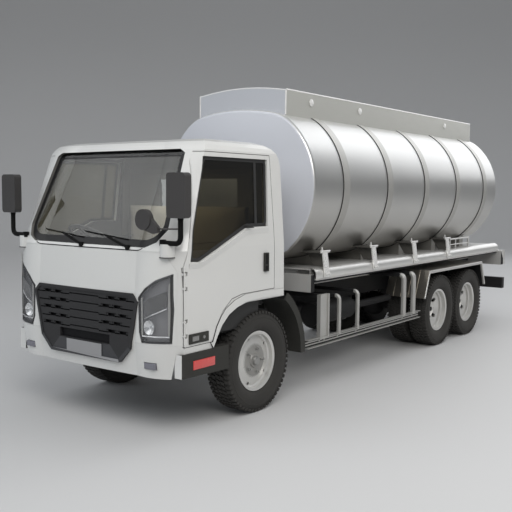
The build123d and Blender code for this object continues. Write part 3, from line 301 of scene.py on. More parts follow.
def dress_by_face(name, materials, choose):
    """A CAD node whose faces take one of several materials, by their place and the way they face."""
    mesh = nodes[name].data
    mesh.materials.clear()
    for material in materials:
        mesh.materials.append(material)
    for face in mesh.polygons:
        face.material_index = choose(face.center - at(0, 0, 0), face.normal)


def dress(material, *names):
    """CAD nodes that keep their shape get this material."""
    for name in names:
        dress_by_face(name, (material,), lambda place, normal: 0)


def add_piece(name, mesh, body, material):
    """A finished mesh in one material becomes a piece that rides on a body."""
    mesh.materials.clear()
    mesh.materials.append(material)
    piece = show(bpy.data.objects.new(name, mesh))
    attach(piece, body)
    return piece


def mesh_of(name, form, angle=None):
    """A bmesh made a mesh, its normals outwards, and smooth up to an angle where one is given."""
    bmesh.ops.recalc_face_normals(form, faces=form.faces)
    mesh = bpy.data.meshes.new(name)
    form.to_mesh(mesh)
    form.free()
    if angle is not None:
        mesh.set_sharp_from_angle(angle=math.radians(angle))
    return mesh


def add_form(name, form, body, material, angle=None):
    """A bmesh becomes a piece that rides on a body."""
    return add_piece(name, mesh_of(name, form, angle), body, material)


# ==== Repeating pieces ====
# Nuts, clamps and tread blocks come as one small mesh, set out in a ring. Round and tubular pieces are rings
# of corners with walls between them.
def ring_tree():
    """Geometry Nodes: one object's mesh repeated Count times, turned about Axis."""
    tree = bpy.data.node_groups.new("repeat_in_ring", "GeometryNodeTree")
    for label, kind in (("Geometry", "Geometry"), ("Piece", "Object"), ("Count", "Int"), ("Axis", "Vector"),
                        ("Material", "Material")):
        tree.interface.new_socket(label, in_out="INPUT", socket_type="NodeSocket" + kind)
    tree.interface.new_socket("Geometry", in_out="OUTPUT", socket_type="NodeSocketGeometry")
    given = node(tree, "NodeGroupInput")
    line = node(tree, "GeometryNodeMeshLine", {"Offset": (0, 0, 0)})
    piece = node(tree, "GeometryNodeObjectInfo")
    index = node(tree, "GeometryNodeInputIndex")
    share = node(tree, "ShaderNodeMath", operation="DIVIDE")
    turn = node(tree, "ShaderNodeMath", {1: 2 * math.pi}, operation="MULTIPLY")
    about = node(tree, "ShaderNodeVectorMath", operation="SCALE")
    spread = node(tree, "GeometryNodeInstanceOnPoints")
    real = node(tree, "GeometryNodeRealizeInstances")
    painted = node(tree, "GeometryNodeSetMaterial")
    out = node(tree, "NodeGroupOutput")
    wire(tree, (given, "Count", line, "Count"), (given, "Piece", piece, "Object"),
         (line, "Mesh", spread, "Points"), (piece, "Geometry", spread, "Instance"), (index, 0, share, 0),
         (given, "Count", share, 1), (share, 0, turn, 0), (given, "Axis", about, 0),
         (turn, 0, about, "Scale"), (about, 0, spread, "Rotation"), (spread, "Instances", real, "Geometry"),
         (real, "Geometry", painted, "Geometry"), (given, "Material", painted, "Material"),
         (painted, "Geometry", out, "Geometry"))
    return tree


RING_TREE = ring_tree()


def in_ring(name, unit, count, axis, material):
    """The mesh that the tree makes of one unit, set out about the origin."""
    source = show(bpy.data.objects.new(name + "_unit", unit))
    holder = show(bpy.data.objects.new(name + "_holder", bpy.data.meshes.new(name + "_seed")))
    modifier = holder.modifiers.new("repeat", "NODES")
    modifier.node_group = RING_TREE
    values = {"Piece": source, "Count": count, "Axis": axis, "Material": material}
    for socket in RING_TREE.interface.items_tree:
        if socket.name in values:
            modifier[socket.identifier] = values[socket.name]
    bpy.context.view_layer.update()
    made = bpy.data.meshes.new_from_object(holder.evaluated_get(bpy.context.evaluated_depsgraph_get()))
    made.name = name
    bpy.data.objects.remove(holder)
    bpy.data.objects.remove(source)
    return made


def wall_rings(form, rings, closed=False):
    """Adds walls between rings of corners; the last ring joins the first, or both ends are covered."""
    pairs = list(zip(rings, rings[1:])) + ([(rings[-1], rings[0])] if closed else [])
    for one, two in pairs:
        for step in range(len(one)):
            follow = (step + 1) % len(one)
            form.faces.new((one[step], one[follow], two[follow], two[step]))
    if not closed:
        form.faces.new(rings[0][::-1])
        form.faces.new(rings[-1])


def circle(form, centre, one, two, count):
    """A ring of corners about a centre, between two half axes."""
    turns = [2 * math.pi * step / count for step in range(count)]
    return [form.verts.new(centre + one * math.cos(turn) + two * math.sin(turn)) for turn in turns]


def turned(form, profile, segments, centre=(0, 0, 0), closed=False):
    """Adds a profile of (along x, radius) points turned about the x axis."""
    rings = []
    for along, radius in profile:
        middle = Vector(centre) + Vector((along, 0, 0))
        rings.append(circle(form, middle, Vector((0, radius, 0)), Vector((0, 0, radius)), segments))
    wall_rings(form, rings, closed)


def merged(parts, name, angle):
    """Several (mesh, shift) pairs as one mesh."""
    form = bmesh.new()
    for mesh, shift in parts:
        start = len(form.verts)
        form.from_mesh(mesh)
        form.verts.ensure_lookup_table()
        for vertex in form.verts[start:]:
            vertex.co += Vector(shift)
    mesh = bpy.data.meshes.new(name)
    form.to_mesh(mesh)
    form.free()
    mesh.set_sharp_from_angle(angle=math.radians(angle))
    return mesh


# ==== Tyres ====
# Black rubber moulded in one piece: a smooth sidewall with low rings, and a tread of blocks with zigzag
# grooves. Each tyre is a carcass with its tread blocks set round it; the rear wheels are twins.
TYRE_R = (axle_high.z - axle_low.z) / 2
TYRE_HALF = (axle_high.x - axle_low.x) / 2
TYRE_BORE = 0.2364
TYRE_SEGMENTS = 96
TREAD_PITCHES = 58
GROOVE, GROOVE_R = 0.013, TYRE_R - 0.013
BLOCK_TAPER, BLOCK_ROOT, TREAD_INSET = 0.0018, 0.002, 0.0004
SHOULDER_X, SHOULDER_TOP, SHOULDER_FOOT, SHOULDER_SPREAD = 0.1, 0.006, 0.028, 1.008
TYRE_ANGLE = 40
twin_low, twin_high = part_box("tyres_rear1_left")
TWIN_PITCH = twin_high.x - twin_low.x - 2 * TYRE_HALF
RUBBER = finish_of("tyre_rubber", (0.024, 0.023, 0.021), 0.78, grain=260, film_and_shade=0.35, film_and_shade_top=1.2,
                   film_and_shade_colour=(0.060, 0.056, 0.050))
tyre_profile = [
    # across, radius
    (0.0735, TYRE_BORE), (0.0750, 0.2535), (0.0850, 0.2620), (0.0900, 0.2630), (0.0960, 0.2720),
    (0.0985, 0.2780), (0.1010, 0.2800), (0.1035, 0.2850), (0.1090, 0.3000), (0.1140, 0.3190),
    (0.1152, 0.3380), (0.1140, 0.3560), (0.1125, 0.3640), (0.1140, 0.3660), (0.1140, 0.3700),
    (0.1110, 0.3720), (0.1080, 0.3850), (0.1030, 0.4000), (0.0980, GROOVE_R - 0.004), (0.0900, GROOVE_R),
    (0.0450, GROOVE_R + 0.0015),
]
tread_blocks = (
    # inner edge, outer edge, start and end of the pitch, skew across the block
    (0.066, 0.1105, 0.06, 0.70, 0.10),
    (0.024, 0.060, 0.20, 0.86, 0.28),
    (-0.019, 0.019, 0.02, 0.70, 0.30),
    (-0.060, -0.024, 0.20, 0.86, 0.28),
    (-0.1105, -0.066, 0.06, 0.70, -0.10),
)


def tyre_carcass():
    """Sidewalls, beads and the floor of the grooves."""
    form = bmesh.new()
    other = [(-across, radius) for across, radius in tyre_profile]
    turned(form, other + tyre_profile[::-1], TYRE_SEGMENTS, closed=True)
    return mesh_of("tyre_carcass", form)


def tread_pitch():
    """One pitch of the tread: five blocks from shoulder to shoulder, each a little narrower at its top."""
    form = bmesh.new()
    pitch = 2 * math.pi / TREAD_PITCHES
    for inner, outer, start, end, skew in tread_blocks:
        levels = []
        for top in (False, True):
            taper = BLOCK_TAPER if top else 0.0
            corners = []
            for across, turn, side in ((inner, start, 1), (outer, start + skew, -1),
                                       (outer, end + skew, -1), (inner, end, 1)):
                angle = turn * pitch + (taper if turn < 0.5 else -taper) / TYRE_R
                across += side * taper
                drop = 0 if top else GROOVE + BLOCK_ROOT
                if abs(across) > SHOULDER_X:
                    drop = SHOULDER_TOP if top else SHOULDER_FOOT
                    across *= 1 if top else SHOULDER_SPREAD
                radius = TYRE_R - TREAD_INSET - drop
                corners.append(form.verts.new((across, radius * math.cos(angle), radius * math.sin(angle))))
            levels.append(corners)
        wall_rings(form, levels)
    return mesh_of("tread_pitch", form)


def wheel_of(kind, label):
    """The body that a wheel's node rides on."""
    return f"wheel_{kind.split('_')[1]}_{label}"


tread = in_ring("tread", tread_pitch(), TREAD_PITCHES, (1, 0, 0), RUBBER)
tyre_mesh = merged([(tyre_carcass(), (0, 0, 0)), (tread, (0, 0, 0))], "tyre", TYRE_ANGLE)
for side, label in SIDES:
    for kind in ("tyre_front", "tyres_rear1", "tyres_rear2"):
        low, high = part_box(f"{kind}_{label}")
        shifts = (0,) if kind == "tyre_front" else (-TWIN_PITCH / 2, TWIN_PITCH / 2)
        wheels = [(tyre_mesh, (low + high) / 2 + Vector((shift, 0, 0))) for shift in shifts]
        tyre = add_piece(f"{kind}_{label}_rubber", merged(wheels, f"{kind}_{label}", TYRE_ANGLE),
                         wheel_of(kind, label), RUBBER)
        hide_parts(f"{kind}_{label}")


# ==== Wheel nuts and hubs ====
# Pressed steel rims painted silver. Five hex nuts on studs hold each disc, and a pressed cap covers the
# front hub's end.
NUT_COUNT = 5
NUT_HALF, NUT_DEEP, NUT_EDGE, NUT_CHAMFER = 0.0135, 0.018, 0.002, 0.003
WASHER_R, WASHER_DEEP = NUT_HALF + 0.007, 0.004
STUD_R, STUD_DEEP, STUD_TIP = 0.008, 0.010, 0.002
FRONT_NUT_RING, REAR_NUT_RING = 0.104, 0.110
FRONT_SEAT_IN, REAR_SEAT_IN = 0.025, 0.1405
DISC_RADIUS = 0.142
NUT_ANGLE = 30
RIM_PAINT = finish_of("rim_paint", (0.68, 0.675, 0.655), 0.32, metallic=0.6, grain=120, height=0.0, film_and_shade=0.15,
                      film_and_shade_top=1.1, spread=0.02)
DISC_PAINT = finish_of("disc_paint", (0.34, 0.335, 0.32), 0.42, metallic=0.5, grain=120, height=0.0001,
                       film_and_shade=0.25, film_and_shade_top=1.1)
HUB_STEEL = finish_of("hub_steel", (0.42, 0.42, 0.41), 0.38, metallic=0.7, grain=160, height=0.0003,
                      film_and_shade=0.35, film_and_shade_top=1.1)
cap_profile = [(-0.004, 0.040), (0.020, 0.039), (0.030, 0.034), (0.034, 0.024), (0.036, 0.008)]


def wheel_nuts(radius):
    """A ring of hex nuts, each on a washer and with its stud's end, that face along +x."""
    form = bmesh.new()
    middle = (0, radius, 0)
    turned(form, [(-WASHER_DEEP, WASHER_R), (0, WASHER_R)], 16, middle)
    nut = [(0, NUT_HALF), (NUT_DEEP - NUT_EDGE, NUT_HALF), (NUT_DEEP, NUT_HALF - NUT_CHAMFER)]
    turned(form, nut, 6, middle)
    tip = NUT_DEEP + STUD_DEEP
    turned(form, [(NUT_DEEP, STUD_R), (tip, STUD_R), (tip + STUD_TIP, STUD_R - STUD_TIP)], 12, middle)
    return in_ring("wheel_nuts", mesh_of("wheel_nut", form), NUT_COUNT, (1, 0, 0), HUB_STEEL)


def facing(mesh, side):
    """The mesh turned to face the truck's left or right."""
    copy = mesh.copy()
    if side < 0:
        copy.transform(Matrix.Rotation(math.pi, 4, "Z"))
    return copy


cap = bmesh.new()
turned(cap, cap_profile, 48)
front_cap = mesh_of("hub_cap", cap)
front_nuts, rear_nuts = wheel_nuts(FRONT_NUT_RING), wheel_nuts(REAR_NUT_RING)
for side, label in SIDES:
    for kind in ("rim_front", "rims_rear1", "rims_rear2"):
        low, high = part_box(f"{kind}_{label}")
        middle = (low + high) / 2
        in_front = kind == "rim_front"
        hub = middle - at(0, 0, 0)
        disc_r = DISC_RADIUS if in_front else 0
        dress_by_face(f"{kind}_{label}", (RIM_PAINT, DISC_PAINT),
                      lambda place, normal, hub=hub, disc_r=disc_r:
                      int(math.hypot(place.y - hub.y, place.z - hub.z) < disc_r))
        outer = high.x if side > 0 else low.x
        seat = (outer - side * (FRONT_SEAT_IN if in_front else REAR_SEAT_IN), middle.y, middle.z)
        fixings = (front_nuts, front_cap) if in_front else (rear_nuts,)
        name = f"{kind}_{label}_nuts"
        add_piece(name, merged([(facing(mesh, side), seat) for mesh in fixings], name, NUT_ANGLE),
                  wheel_of(kind, label), HUB_STEEL)


# ==== Cab shell, floor, doors and front panels ====
# Pressed steel, painted a warm white outside, with grey moulded trim inside and black sealer under the floor.
# The doors and the front panel are separate pressings in the same paint.
CAB_PAINT = finish_of("cab_paint", (0.60, 0.60, 0.585), 0.30, coat=0.6, height=0.00005, film_and_shade=0.10,
                      film_and_shade_top=1.4, film_and_shade_colour=(0.30, 0.28, 0.25))
CAB_LINING = finish_of("cab_lining", (0.13, 0.127, 0.118), 0.72, grain=300)
CAB_TRIM = finish_of("cab_trim", (0.060, 0.060, 0.062), 0.68, grain=300)
SEALER = finish_of("underside_sealer", (0.022, 0.022, 0.023), 0.75, grain=90, height=0.002, film_and_shade=0.5,
                   film_and_shade_top=1.0, film_and_shade_colour=(0.055, 0.052, 0.048))
CAB_MIDDLE = Vector((0, -0.40, 1.50))
FACING, SLIGHTLY_FACING = 0.5, 0.25
UNDERSIDE_Z, TUNNEL_HALF, TUNNEL_Z = 1.0, 0.437, 0.985
ARCH_Z, ARCH_FRONT_Y, WALL_X, TRIM_Z = 0.97, -0.72, 0.93, 1.38


def cab_side(place, normal):
    """0 paint, 1 light lining, 2 dark trim, 3 sealer."""
    under = normal.z < -SLIGHTLY_FACING and place.z < UNDERSIDE_Z
    tunnel = abs(place.x) < TUNNEL_HALF and place.z < TUNNEL_Z
    in_arch = place.z < ARCH_Z and abs(place.x) < WALL_X and place.y > ARCH_FRONT_Y
    if under or tunnel or in_arch and normal.y > SLIGHTLY_FACING:
        return 3
    if normal.dot(place - CAB_MIDDLE) < 0:
        return 1 if place.z > TRIM_Z else 2
    return 0


for name in ("cab_shell", "cab_floor"):
    dress_by_face(name, (CAB_PAINT, CAB_LINING, CAB_TRIM, SEALER), cab_side)
dress(CAB_PAINT, "front_panel", "bumper")


# ==== Pieces laid on the cab's skin ====
# Seals, borders and seam lines follow the curved panels: each is a band along a line, laid on the surface
# that it meets. Ceramic black borders the windscreen, and moulded rubber seals the doors' windows.
CORNER_SHARE = 2.1
FAR_OFF = 3.0


def skin_of(*names):
    """The surfaces of some CAD nodes, to lay a line on."""
    form = bmesh.new()
    for name in names:
        form.from_mesh(nodes[name].data)
    skin = BVHTree.FromBMesh(form)
    form.free()
    return skin


def rounded(points, radius, closed=True, steps=5):
    """A line with its corners rounded: each corner becomes a short curve of a few points."""
    total = len(points)
    line = []
    for index, corner in enumerate(points):
        corner = Vector(corner)
        if not closed and index in (0, total - 1):
            line.append(corner)
            continue
        before = Vector(points[index - 1])
        after = Vector(points[(index + 1) % total])
        reach = min(radius, (before - corner).length / CORNER_SHARE, (after - corner).length / CORNER_SHARE)
        start = corner + (before - corner).normalized() * reach
        end = corner + (after - corner).normalized() * reach
        for step in range(steps + 1):
            t = step / steps
            line.append(start * (1 - t) ** 2 + corner * 2 * t * (1 - t) + end * t ** 2)
    return line


def dense(points, pitch, closed=True):
    """A line with points added until none is further than the pitch from the next."""
    line = []
    follow = points[1:] + points[:1] if closed else points[1:]
    for one, two in zip(points, follow):
        count = max(1, math.ceil((two - one).length / pitch))
        line += [one.lerp(two, step / count) for step in range(count)]
    return line if closed else line + [points[-1]]


def laid_on(skin, place, way):
    """Where a line along the way first meets the skin."""
    hit = skin.ray_cast(Vector(place) - Vector(way) * FAR_OFF, Vector(way))[0]
    return hit if hit is not None else Vector(place)


def band_on(skin, corners, width, way, thick, radius=None, pitch=0.05, lift=0.0004, closed=True):
    """A band laid on the skin along a line; thick is one thickness, or one for each of its edges."""
    points = dense(rounded(corners, radius, closed) if radius else corners, pitch, closed)
    way = Vector(way)
    thick_one, thick_two = thick if isinstance(thick, tuple) else (thick, thick)
    total = len(points)
    form = bmesh.new()
    rings = []
    for index, place in enumerate(points):
        if closed:
            along = points[(index + 1) % total] - points[index - 1]
        else:
            along = points[min(index + 1, total - 1)] - points[max(index - 1, 0)]
        across = along.cross(way).normalized() * width / 2
        one, two = (laid_on(skin, place + shift, way) - way * lift for shift in (across, -across))
        ring = (one, two, two - way * thick_two, one - way * thick_one)
        rings.append([form.verts.new(corner) for corner in ring])
    wall_rings(form, rings, closed)
    return form


def drawn_in(pairs, amount):
    """A closed line of pairs moved inwards by an amount."""
    total = len(pairs)
    turn = sum(pairs[i - 1][0] * pairs[i][1] - pairs[i][0] * pairs[i - 1][1] for i in range(total))
    way = 1 if turn > 0 else -1
    line = []
    for index in range(total):
        before, here, after = (Vector(pairs[(index + step) % total]) for step in (-1, 0, 1))
        normals = []
        for start, end in ((before, here), (here, after)):
            along = (end - start).normalized()
            normals.append(Vector((-along.y, along.x)) * way)
        line.append(tuple(here + (normals[0] + normals[1]) * (amount / (1 + normals[0].dot(normals[1])))))
    return line


def front_line(pairs, side=1):
    """(x, z) pairs as places on the front."""
    return [at(side * x, 0, z) for x, z in pairs]


def side_line(pairs, x):
    """(y, z) pairs as places at one distance from the truck's middle."""
    return [at(x, y, z) for y, z in pairs]


BLACK_CERAMIC = finish_of("glass_border", (0.006, 0.006, 0.007), 0.30, grain=500, height=0.0, specular=0.35)
SEAL_RUBBER = finish_of("window_seal", (0.020, 0.020, 0.020), 0.62, grain=400, height=0.0003, film_and_shade=0.2,
                        film_and_shade_top=2.0, film_and_shade_colour=(0.07, 0.07, 0.065))
SEAM_DARK = finish_of("panel_seam", (0.012, 0.012, 0.012), 0.8, grain=300, height=0.0002, specular=0.15)
FRONT_WAY = (0, 1, 0)
half_screen = [(0.640, 1.428), (0.735, 1.470), (0.795, 1.560), (0.742, 2.140), (0.690, 2.170)]
half_cowl = [(0.585, 1.405), (0.640, 1.436), (0.700, 1.500)]
other_screen = [(-x, z) for x, z in half_screen[::-1]]
SCREEN_EDGE = other_screen[-1:] + half_screen + other_screen[:-1]
COWL_EDGE = [(-x, z) for x, z in half_cowl[::-1]] + half_cowl
WINDOW_EDGE = [(-0.915, 1.330), (-0.880, 1.560), (-0.712, 2.112), (0.092, 2.112), (0.058, 1.562),
               (-0.219, 1.562), (-0.810, 1.322)]
DIVIDER_LINE = [(-0.085, 1.585), (-0.062, 2.090)]
BORDER_IN, BORDER_WIDE, BORDER_THICK = 0.028, 0.052, 0.0008
SEAM_WIDE, SEAL_IN, SEAL_WIDE, SEAL_THICK = 0.007, 0.0145, 0.026, 0.006
DIVIDER_WIDE, DIVIDER_THICK = 0.030, 0.005
glass_skin = skin_of("cab_glass")
front_skin = skin_of("cab_shell", "front_panel", "grille", "headlamps", "bumper")
border = band_on(glass_skin, front_line(drawn_in(SCREEN_EDGE, BORDER_IN)), BORDER_WIDE, FRONT_WAY,
                 BORDER_THICK, radius=0.08, pitch=0.04)
add_form("screen_border", border, "cab", BLACK_CERAMIC)
seam = band_on(front_skin, front_line(COWL_EDGE), SEAM_WIDE, FRONT_WAY, BORDER_THICK, radius=0.05,
               lift=0.0003, closed=False)
add_form("cowl_seam", seam, "cab", SEAM_DARK)
for side, label in SIDES:
    door_body = f"door_{label}_body"
    pane_skin = skin_of(f"door_glass_{label}")
    seal = band_on(pane_skin, side_line(drawn_in(WINDOW_EDGE, SEAL_IN), side), SEAL_WIDE, (-side, 0, 0),
                   SEAL_THICK, radius=0.035)
    add_form(f"window_seal_{label}", seal, door_body, SEAL_RUBBER)
    divider = band_on(pane_skin, side_line(DIVIDER_LINE, side), DIVIDER_WIDE, (-side, 0, 0), DIVIDER_THICK,
                      closed=False)
    add_form(f"window_divider_{label}", divider, door_body, SEAL_RUBBER)


# ==== Window glass ====
# Laminated windscreen and rear pane, lightly tinted, and darker toughened glass in the doors. Wiped dust
# has left faint streaks on every pane.
GLASS_IOR = 1.52
DUST_STREAKS = {"Scale": 3.0, "Stretch": (4, 4, 1), "Low Roughness": 0.0, "High Roughness": 0.03,
                "Height": 0.0}


def glass_of(name, colour):
    """Clear tinted glass with faint streaks of dust on its surface."""
    pane = bpy.data.materials.new(name)
    pane.use_nodes = True
    tree = pane.node_tree
    shader = tree.nodes["Principled BSDF"]
    fill(shader, {"Base Color": (*colour, 1), "Transmission Weight": 1.0, "IOR": GLASS_IOR})
    streaks = node(tree, "ShaderNodeGroup", DUST_STREAKS, node_tree=SURFACE_GRAIN)
    wire(tree, (streaks, "Roughness", shader, "Roughness"))
    return pane


dress(glass_of("screen_glass", (0.90, 0.92, 0.90)), "cab_glass")
dress(glass_of("door_glass", (0.17, 0.15, 0.10)), "door_glass_left", "door_glass_right")


# ==== Wipers ====
# Two black pressed arms on pivots under the screen, each with a rubber blade that rests on the glass. Both
# are bent near the pivot and parked along the foot of the screen.
WIPER_PLACES = ((0.465, 0.170), (-0.047, -0.330))
WIPER_PIVOT_Z, WIPER_TIP_Z = 1.424, 1.506
BLADE_ENDS = ((0.255, -0.026), (-0.245, 0.020))
PIVOT_OUT, TIP_OUT, KNEE_OUT, KNEE_SHARE, KNEE_BEND = 0.004, 0.016, 0.012, 0.35, 0.08
ARM_R, PIVOT_R, PIVOT_HALF = 0.0095, 0.019, 0.014
BLADE_R, BLADE_OUT, LIP_R, LIP_OUT = 0.0045, 0.009, 0.0035, 0.0045
WIPER_BLACK = finish_of("wiper_black", (0.005, 0.005, 0.005), 0.6, grain=400, height=0.0002, specular=0.12)


def tube_form(form, points, radius, segments=10):
    """Adds a round bar along a line, its ends closed."""
    rings = []
    normal = None
    for index, place in enumerate(points):
        along = (points[min(index + 1, len(points) - 1)] - points[max(index - 1, 0)]).normalized()
        if normal is None:
            normal = along.orthogonal().normalized()
        normal = (normal - along * normal.dot(along)).normalized()
        rings.append(circle(form, place, normal * radius, along.cross(normal) * radius, segments))
    wall_rings(form, rings)


def outwards(place, reach):
    """A place moved out of the front by a reach."""
    return place - Vector(FRONT_WAY) * reach


wipers = bmesh.new()
for pivot_x, tip_x in WIPER_PLACES:
    pivot = outwards(laid_on(front_skin, at(pivot_x, 0, WIPER_PIVOT_Z), FRONT_WAY), PIVOT_OUT)
    tip = outwards(laid_on(glass_skin, at(tip_x, 0, WIPER_TIP_Z), FRONT_WAY), TIP_OUT)
    knee = outwards(pivot.lerp(tip, KNEE_SHARE), KNEE_OUT)
    tube_form(wipers, rounded([pivot, knee, tip], KNEE_BEND, closed=False), ARM_R)
    tube_form(wipers, [outwards(pivot, -PIVOT_HALF), outwards(pivot, PIVOT_HALF)], PIVOT_R, segments=16)
    ends = [at(tip_x + reach, 0, WIPER_TIP_Z + rise) for reach, rise in BLADE_ENDS]
    line = [laid_on(glass_skin, place, FRONT_WAY) for place in dense(ends, 0.05, closed=False)]
    tube_form(wipers, [outwards(place, BLADE_OUT) for place in line], BLADE_R, segments=8)
    tube_form(wipers, [outwards(place, LIP_OUT) for place in line], LIP_R, segments=6)
add_form("wipers", wipers, "cab", WIPER_BLACK, angle=50)


# ==== Headlamps ====
# A clear moulded lens over a grey housing, with a dark upper chamber, pale walls, a bowl with its bulb low
# down and bright strips. The lens is the front of the lamp's own solid, made a thin shell.
LAMP_WALL, LAMP_JOIN = 0.002, 0.0002
LENS_REAR_Y, LENS_FRONT_FACING, LENS_SIDE_FACING = -0.98, 0.35, 0.6
BOWL_X, BOWL_Z, BOWL_IN, BOWL_R, BOWL_DEEP = 0.706, 0.842, 0.008, 0.054, 0.026
BOWL_SEGMENTS, BOWL_WALL, BULB_SHARE, BULB_FRONT = 24, 0.003, 0.16, 0.006
BOWL_LEVELS = (0.15, 0.4, 0.65, 0.85, 1.0)
PLATE_THICK, PLATE_BEND, STRIP_IN = 0.003, 0.014, 0.005
LAMP_PLATES = (
    # which piece, depth behind the lens, corners
    ("chamber", 0.006, ((0.662, 0.915), (0.662, 1.012), (0.690, 1.052), (0.845, 1.118), (0.845, 1.005))),
    ("wall", 0.004, ((0.853, 0.790), (0.853, 1.170), (0.868, 1.185), (0.868, 0.785))),
    ("wall", 0.004, ((0.635, 0.775), (0.632, 1.056), (0.648, 1.070), (0.651, 0.775))),
)
CHROME_STRIPS = (
    # radius, corners
    (0.0065, ((0.648, 0.774), (0.760, 0.776), (0.862, 0.780))),
    (0.0045, ((0.735, 0.938), (0.845, 0.990))),
    (0.0025, ((0.662, 0.905), (0.735, 0.938))),
)
LAMP_EDGE = ((0.640, 0.722), (0.880, 0.730), (0.893, 0.985), (0.881, 1.246), (0.758, 1.194),
             (0.673, 1.133), (0.603, 1.058), (0.612, 0.800))
LAMP_SIDE = ((0.872, 0.738), (0.880, 0.985), (0.870, 1.232))
EDGE_WIDE, SIDE_WIDE, EDGE_THICK, EDGE_LIFT = 0.014, 0.012, 0.0012, 0.0003
EDGE_IN, EDGE_TOP_IN, EDGE_MIDDLE = 0.006, 0.008, (0.7, 0.9)
CLEAR_LENS = finish_of("lamp_lens", (0.42, 0.43, 0.45), 0.08, coat=1.0, grain=60, height=0.0, spread=0.02,
                       alpha=0.10)
LAMP_GREY = finish_of("lamp_housing", (0.20, 0.20, 0.21), 0.42, metallic=0.3, coat=0.3, grain=260,
                      height=0.0001, film_and_shade=0.05)
LAMP_DARK = finish_of("lamp_chamber", (0.045, 0.044, 0.043), 0.35, coat=0.4, grain=260, height=0.0001,
                      film_and_shade=0.05)
LAMP_PALE = finish_of("lamp_wall", (0.34, 0.335, 0.32), 0.35, metallic=0.3, grain=260, height=0.0001,
                      film_and_shade=0.05)
LAMP_CHROME = finish_of("lamp_reflector", (0.86, 0.87, 0.88), 0.14, metallic=0.9, grain=60, height=0.0)
lamp_skin = skin_of("headlamps")


def is_lens(place, normal):
    """Whether a face of the lamp belongs to its lens, which wraps round the cab's corner."""
    outwards_share = normal.x * math.copysign(1, place.x)
    return normal.y < -LENS_FRONT_FACING or outwards_share > LENS_SIDE_FACING and place.y < LENS_REAR_Y


def split_shell(wanted):
    """The lamps' faces that are lens, or that are not, as a thin shell."""
    form = bmesh.new()
    form.from_mesh(nodes["headlamps"].data)
    bmesh.ops.remove_doubles(form, verts=form.verts, dist=LAMP_JOIN)
    form.normal_update()
    drop = [face for face in form.faces
            if is_lens(face.calc_center_median() - at(0, 0, 0), face.normal) != wanted]
    bmesh.ops.delete(form, geom=drop, context="FACES")
    bmesh.ops.solidify(form, geom=form.faces, thickness=LAMP_WALL)
    return form


def behind_lens(place, depth):
    """A place behind the lens by a depth."""
    return outwards(laid_on(lamp_skin, place, FRONT_WAY), -depth)


def bowl_form(form, centre):
    """Adds a reflector bowl that opens forwards, with its bulb holder."""
    levels = [(share, BOWL_DEEP * (1 - share * share)) for share in BOWL_LEVELS]
    rings = []
    for offset, run in ((0.0, levels), (BOWL_WALL, levels[::-1])):
        for share, back in run:
            reach = BOWL_R * share
            rings.append(circle(form, centre + Vector((0, back + offset, 0)), Vector((reach, 0, 0)),
                                Vector((0, 0, reach)), BOWL_SEGMENTS))
    wall_rings(form, rings, closed=True)
    bulb = [centre + Vector((0, depth, 0)) for depth in (BOWL_DEEP + BOWL_WALL, BULB_FRONT)]
    tube_form(form, bulb, BOWL_R * BULB_SHARE, segments=12)


def lamp_plate(form, corners, depth):
    """Adds a thin plate behind the lens, bent like it."""
    outline = dense(rounded(corners, PLATE_BEND), 0.03)
    wall_rings(form, [[form.verts.new(behind_lens(place, back)) for place in outline]
                      for back in (depth, depth + PLATE_THICK)])


lens = add_form("headlamp_lenses", split_shell(True), "cab", CLEAR_LENS)
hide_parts("headlamps")
add_form("headlamp_housings", split_shell(False), "cab", LAMP_GREY)
chrome = bmesh.new()
plates = {"chamber": bmesh.new(), "wall": bmesh.new()}
for side in BOTH:
    bowl_form(chrome, behind_lens(at(side * BOWL_X, 0, BOWL_Z), BOWL_IN))
    for kind, depth, corners in LAMP_PLATES:
        lamp_plate(plates[kind], front_line(corners, side), depth)
    for radius, corners in CHROME_STRIPS:
        tube_form(chrome, [behind_lens(place, STRIP_IN) for place in front_line(corners, side)], radius)
add_form("headlamp_bowls", chrome, "cab", LAMP_CHROME, angle=40)
add_form("headlamp_chambers", plates["chamber"], "cab", LAMP_DARK)
add_form("headlamp_walls", plates["wall"], "cab", LAMP_PALE)
rim_edge = [(x + (EDGE_IN if x < EDGE_MIDDLE[0] else -EDGE_IN),
             z + (EDGE_IN if z < EDGE_MIDDLE[1] else -EDGE_TOP_IN))
            for x, z in LAMP_EDGE]
for side, label in SIDES:
    outer_band = band_on(lamp_skin, front_line(LAMP_SIDE, side), SIDE_WIDE, FRONT_WAY, EDGE_THICK,
                         pitch=0.03, lift=EDGE_LIFT, closed=False)
    add_form(f"headlamp_side_{label}", outer_band, "cab", SEAL_RUBBER)
    edge = band_on(lamp_skin, front_line(rim_edge, side), EDGE_WIDE, FRONT_WAY, EDGE_THICK, radius=0.02,
                   pitch=0.03, lift=EDGE_LIFT)
    add_form(f"headlamp_edge_{label}", edge, "cab", SEAL_RUBBER)


# ==== Grille, bumper lamps and number plate ====
# One dark grained moulding of staggered six-sided pockets, joined by thin black strips under short webs,
# which stand for open slots as painted shade. The pocket floors and the mouth are painted darker as painted
# shade in the recesses, and the lighter insert below carries a bare grey plate.
PLATE_HALF, PLATE_LOW, PLATE_HIGH, PLATE_Y = 0.208, 0.558, 0.663, -1.105
POCKET_Y, POCKET_LOW, INSERT_HIGH = -1.110, 0.665, 0.660
ROW_COUNT, ROW_FOOT, ROW_PITCH, ROW_FLARE = 5, 0.772, 0.0645, 0.012
POCKET_PITCH, POCKET_HALF, PLAIN_HALF = 0.126, 0.053, 0.172
POCKET_LIMIT, SLOT_LIMIT, SLOT_FLARE = 0.448, 0.496, 0.018
TIP, FACE_Y, SLOT_THICK, SLOT_LOW, SLOT_HIGH = 0.015, -1.1120, 0.0008, 0.0135, 0.0055
WEB_OVER, WEB_DEEP, WEB_HALF = 0.001, 0.003, 0.0142
